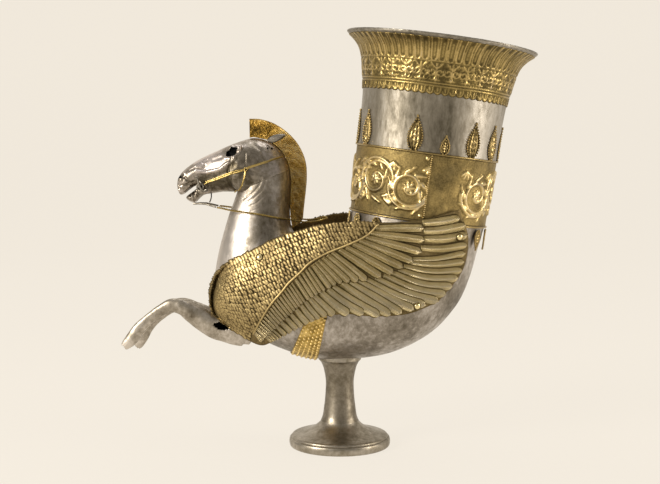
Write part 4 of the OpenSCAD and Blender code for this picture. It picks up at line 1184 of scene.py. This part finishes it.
# The right leg is bent down about its shoulder and broken off a little shorter.
for side, word, drop, end in ((-1, "left", 0, 16.75), (1, "right", 4.7, 16)):
    def leg_place(u, v, side=side, drop=drop, end=end):
        s = 1.0 + (end - 1) * v
        k, ahead, behind = curve(LEG, s), curve(LEG, min(s + 0.1, 17)), curve(LEG, max(s - 0.1, 0))
        run = math.hypot(ahead[0] - behind[0], ahead[1] - behind[1])
        tx, tz = (ahead[0] - behind[0]) / run, (ahead[1] - behind[1]) / run
        a = math.tau * u
        c, d = math.cos(a), math.sin(a)
        sinew = 1 + 0.10 * math.cos(3 * a + 2) * math.exp(-((s - 11.5) / 3) ** 2)
        knee = 1.0 + 0.06 * math.exp(-((s - 8.6) / 0.7) ** 2)
        tear = noise.noise(Vector((2.2 * c, 2.2 * d, side * 3)))
        ragged = 2.6 * tear * max(0.0, (v - 0.93) / 0.07)
        high, wide = k[2] * sinew * knee, k[3] * sinew * knee
        p = Vector((k[0] - tz * high * c + tx * ragged, side * 32 + wide * d,
                    k[1] + tx * high * c + tz * ragged))
        p += Vector((0, 0, 0.5 * noise.noise(p / 9)))
        return SHOULDER + Matrix.Rotation(math.radians(-drop), 3, "Y") @ (p - SHOULDER)
    bm = bmesh.new()
    lay_grid(bm, 72, 190, leg_place, leg_soil, turn=True)
    bmesh.ops.remove_doubles(bm, verts=bm.verts, dist=0.01)
    torn = []
    for f in bm.faces:
        c = f.calc_center_median()
        edge = 1 + 0.35 * noise.noise(c / 5)
        if side * c.y > 33 and math.hypot((c.x + 174) / 17, (c.z - 190.5) / 6.5) < edge * 0.9:
            torn.append(f)
    bmesh.ops.delete(bm, geom=torn, context="FACES")
    made = finish_piece("foreleg_torn_" + word, bm, leg_silver, "aged_silver", "foreleg_" + word, thick=1.1)
    # The leg sheet's inner wall takes the painted-shade black, seen through the tear
    made.data.materials.append(hollow_painted_shade)
    made.modifiers["sheet"].material_offset = 1


# ---- Bridle --------------------------------------------------------------------------
# Gilt wire bridle: two-strand cheek straps under a stud, a throat strap, and a stiff rein of
# two twisted wires that runs from the chin to a loop on the withers.

# Gilding of the bridle's wires
bridle_gilt = gilding("gilding_bridle_wire", "#D8BC76", "#94804C", "#3E341E", worn=0.2)


def on_head(station, angle, lift):
    """Point on the chased skin of the head next to a point of its section."""
    near, normal, _, _ = head_tree.find_nearest(section_at(HEAD, station, angle, 3.0))
    return list(near + normal * lift)


def run_wire(bm, path, radius, sides=8, per=4, soil_and_painted_light=0.0):
    """A round wire through given points, per rings for each point."""
    steps = per * (len(path) - 1)
    n = len(path) - 1

    def place(u, v):
        p = Vector(curve(path, v * n))
        ahead, behind = curve(path, min(v * n + 0.05, n)), curve(path, max(v * n - 0.05, 0))
        t = (Vector(ahead) - Vector(behind)).normalized()
        a = t.cross(Vector((0, 0, 1)) if abs(t.z) < 0.9 else Vector((1, 0, 0))).normalized()
        b = t.cross(a)
        return p + radius * (a * math.cos(math.tau * u) + b * math.sin(math.tau * u))
    fresh = lay_grid(bm, sides, steps, place, lambda p: soil_and_painted_light)
    bmesh.ops.remove_doubles(bm, verts=fresh, dist=0.001)


def twist(path, offset, pitch, phase):
    """Points of one strand that winds round a path."""
    dense = [Vector(curve(path, k / 12)) for k in range(12 * (len(path) - 1) + 1)]
    far, out = 0.0, []
    for k, p in enumerate(dense):
        far += (p - dense[k - 1]).length if k else 0
        t = (dense[min(k + 1, len(dense) - 1)] - dense[max(k - 1, 0)]).normalized()
        a = t.cross(Vector((0, 0, 1)) if abs(t.z) < 0.9 else Vector((1, 0, 0))).normalized()
        b = t.cross(a)
        angle = math.tau * far / pitch + phase
        out.append(list(p + offset * (a * math.cos(angle) + b * math.sin(angle))))
    return out


STRAP = [[7.5, 66], [6.5, 69.5], [5.5, 72], [4.3, 74.5], [3.35, 80.5], [2.83, 87.5], [2.28, 98.6],
         [1.9, 109.3], [1.53, 123.7], [1.25, 143], [1.12, 156]]
THROAT = [[2.7, 82], [2.38, 74.7], [1.82, 62.1], [1.1, 46], [0.75, 30], [0.6, 15], [0.6, 0]]
for side, word in ((-1, "left"), (1, "right")):
    bm = bmesh.new()
    for spread in (-1.6, 1.6):
        path = [on_head(s, side * (a + spread * (1 + 1.1 * (1 - k / 20) ** 3)), 0.7)
                for k, (s, a) in enumerate(curve(STRAP, j / 2) for j in range(21))]
        run_wire(bm, path, 1.1, 8, 4, -0.05)
    bmesh.ops.recalc_face_normals(bm, faces=bm.faces)
    finish_piece("cheek_strap_wire_" + word, bm, bridle_gilt, "gilt_silver", "cheek_strap_" + word)
bm = bmesh.new()
for spread in (-1.2, 1.2):
    half = [on_head(s + spread * 0.035, -a, 0.7) for s, a in (curve(THROAT, j / 2) for j in range(13))]
    run_wire(bm, half + [[x, -y, z] for x, y, z in reversed(half[:-1])], 0.95, 8, 4)
bmesh.ops.recalc_face_normals(bm, faces=bm.faces)
finish_piece("throat_strap_wire", bm, bridle_gilt, "gilt_silver", "throat_strap")

# A small rosette where the straps cross: a ring of petals round a dark pin
bm = bmesh.new()
layer = bm.verts.layers.float.new("soil_and_painted_light")
for side in (-1, 1):
    p = Vector(on_head(2.83, side * 86, 1.4))
    turn = (p - Vector(on_head(2.83, side * 86, 0.0))).to_track_quat("Z", "Y").to_matrix().to_4x4()
    for k in range(7):
        petal = bmesh.ops.create_icosphere(bm, subdivisions=2, radius=1.35)["verts"]
        a = math.tau * k / 6
        seat = (2 * math.cos(a), 2 * math.sin(a), 0) if k < 6 else (0, 0, 0.5)
        bmesh.ops.scale(bm, vec=(1, 1, 0.8), verts=petal)
        bmesh.ops.translate(bm, vec=seat, verts=petal)
        for q in petal:
            q[layer] = -0.05 if k < 6 else 0.6
        bmesh.ops.transform(bm, matrix=Matrix.Translation(p) @ turn, verts=petal)
finish_piece("strap_rosettes", bm, bridle_gilt, "gilt_silver", "strap_studs")

REIN = [[-184, 21, 366.3], [-176, 26, 365.2], [-164, 33.5, 363], [-149, 40, 361.3], [-130, 43.8, 358.9],
        [-114, 43.5, 356.3], [-99.5, 40, 353.2], [-86.7, 32, 350.4], [-74, 22, 347.7], [-54.4, 14, 344],
        [-37, 8, 344.5], [-24, 4.2, 347.5], [-19.6, 0, 348.6]]
route = [[x, -y, z] for x, y, z in REIN]
route += [[x, y, z + 4 * (k / 12) ** 2] for k, (x, y, z) in reversed(list(enumerate(REIN[:-1])))]
bm = bmesh.new()
for phase in (0, math.pi):
    run_wire(bm, twist(route, 0.8, 6.0, phase), 0.85, 6, 1)
bmesh.ops.recalc_face_normals(bm, faces=bm.faces)
finish_piece("rein_twisted", bm, bridle_gilt, "gilt_silver", "rein_wire")

# Domed rivets of pale gilt silver with a dark seam round each
rivet_gilt = gilding("gilding_rivet_pale", "#F4E0A4", "#CDB273", "#5A4A2A", bare="#E6D7A8", worn=0.4)
RIVETS = [(0.321, 0.1), (0.98, 0.28), (0.92, 0.93)]
bm = bmesh.new()
layer = bm.verts.layers.float.new("soil_and_painted_light")
for u, v in RIVETS:
    p = wing_at(u, v)
    base, normal = on_wing(p.x, p.z, 2.2), (on_wing(p.x, p.z, 5) - on_wing(p.x, p.z, 0)).normalized()
    dome = bmesh.ops.create_uvsphere(bm, u_segments=28, v_segments=16, radius=1)["verts"]
    turn = normal.to_track_quat("Z", "Y").to_matrix().to_4x4()
    bmesh.ops.scale(bm, vec=(4.4, 4.4, 2.3), verts=dome)
    for d in dome:
        d[layer] = -0.3 if d.co.z > 0.4 else 0.4
    bmesh.ops.transform(bm, matrix=Matrix.Translation(base) @ turn, verts=dome)
    washer = bmesh.ops.create_cone(bm, cap_ends=True, segments=28, radius1=6, radius2=5.2,
                                   depth=1.2)["verts"]
    for d in washer:
        d[layer] = 0.9
    bmesh.ops.transform(bm, matrix=Matrix.Translation(base - normal * 0.5) @ turn, verts=washer)
both_wings("wing_rivets_domed", bm, rivet_gilt, "wing_rivets")

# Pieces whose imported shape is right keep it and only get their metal.

# Iron, corroded nearly black
black_iron = silver_metal("iron_corroded_black", "#4A443C", "#2E2A25", "#171411", hammer=3)
KEPT = [
    (palmette_gilt, ["frieze_upper_wire", "frieze_lower_wire"]),
    (rivet_gilt, ["frieze_rivets"]),
    (black_iron, ["girdle_rivets", "bit_bar", "chin_hook"]),
    (lip_silver, ["bit_ring_left", "bit_ring_right", "cheekpiece_left", "cheekpiece_right",
                  "rein_link_left", "rein_link_right", "spout_lip"]),
    (foot_silver, ["saddle_plate"]),
    (body_silver, ["bulkhead", "pour_tube"])
]
for metal, names in KEPT:
    for name in names:
        for material_slot in nodes[name].material_slots:
            material_slot.material = metal
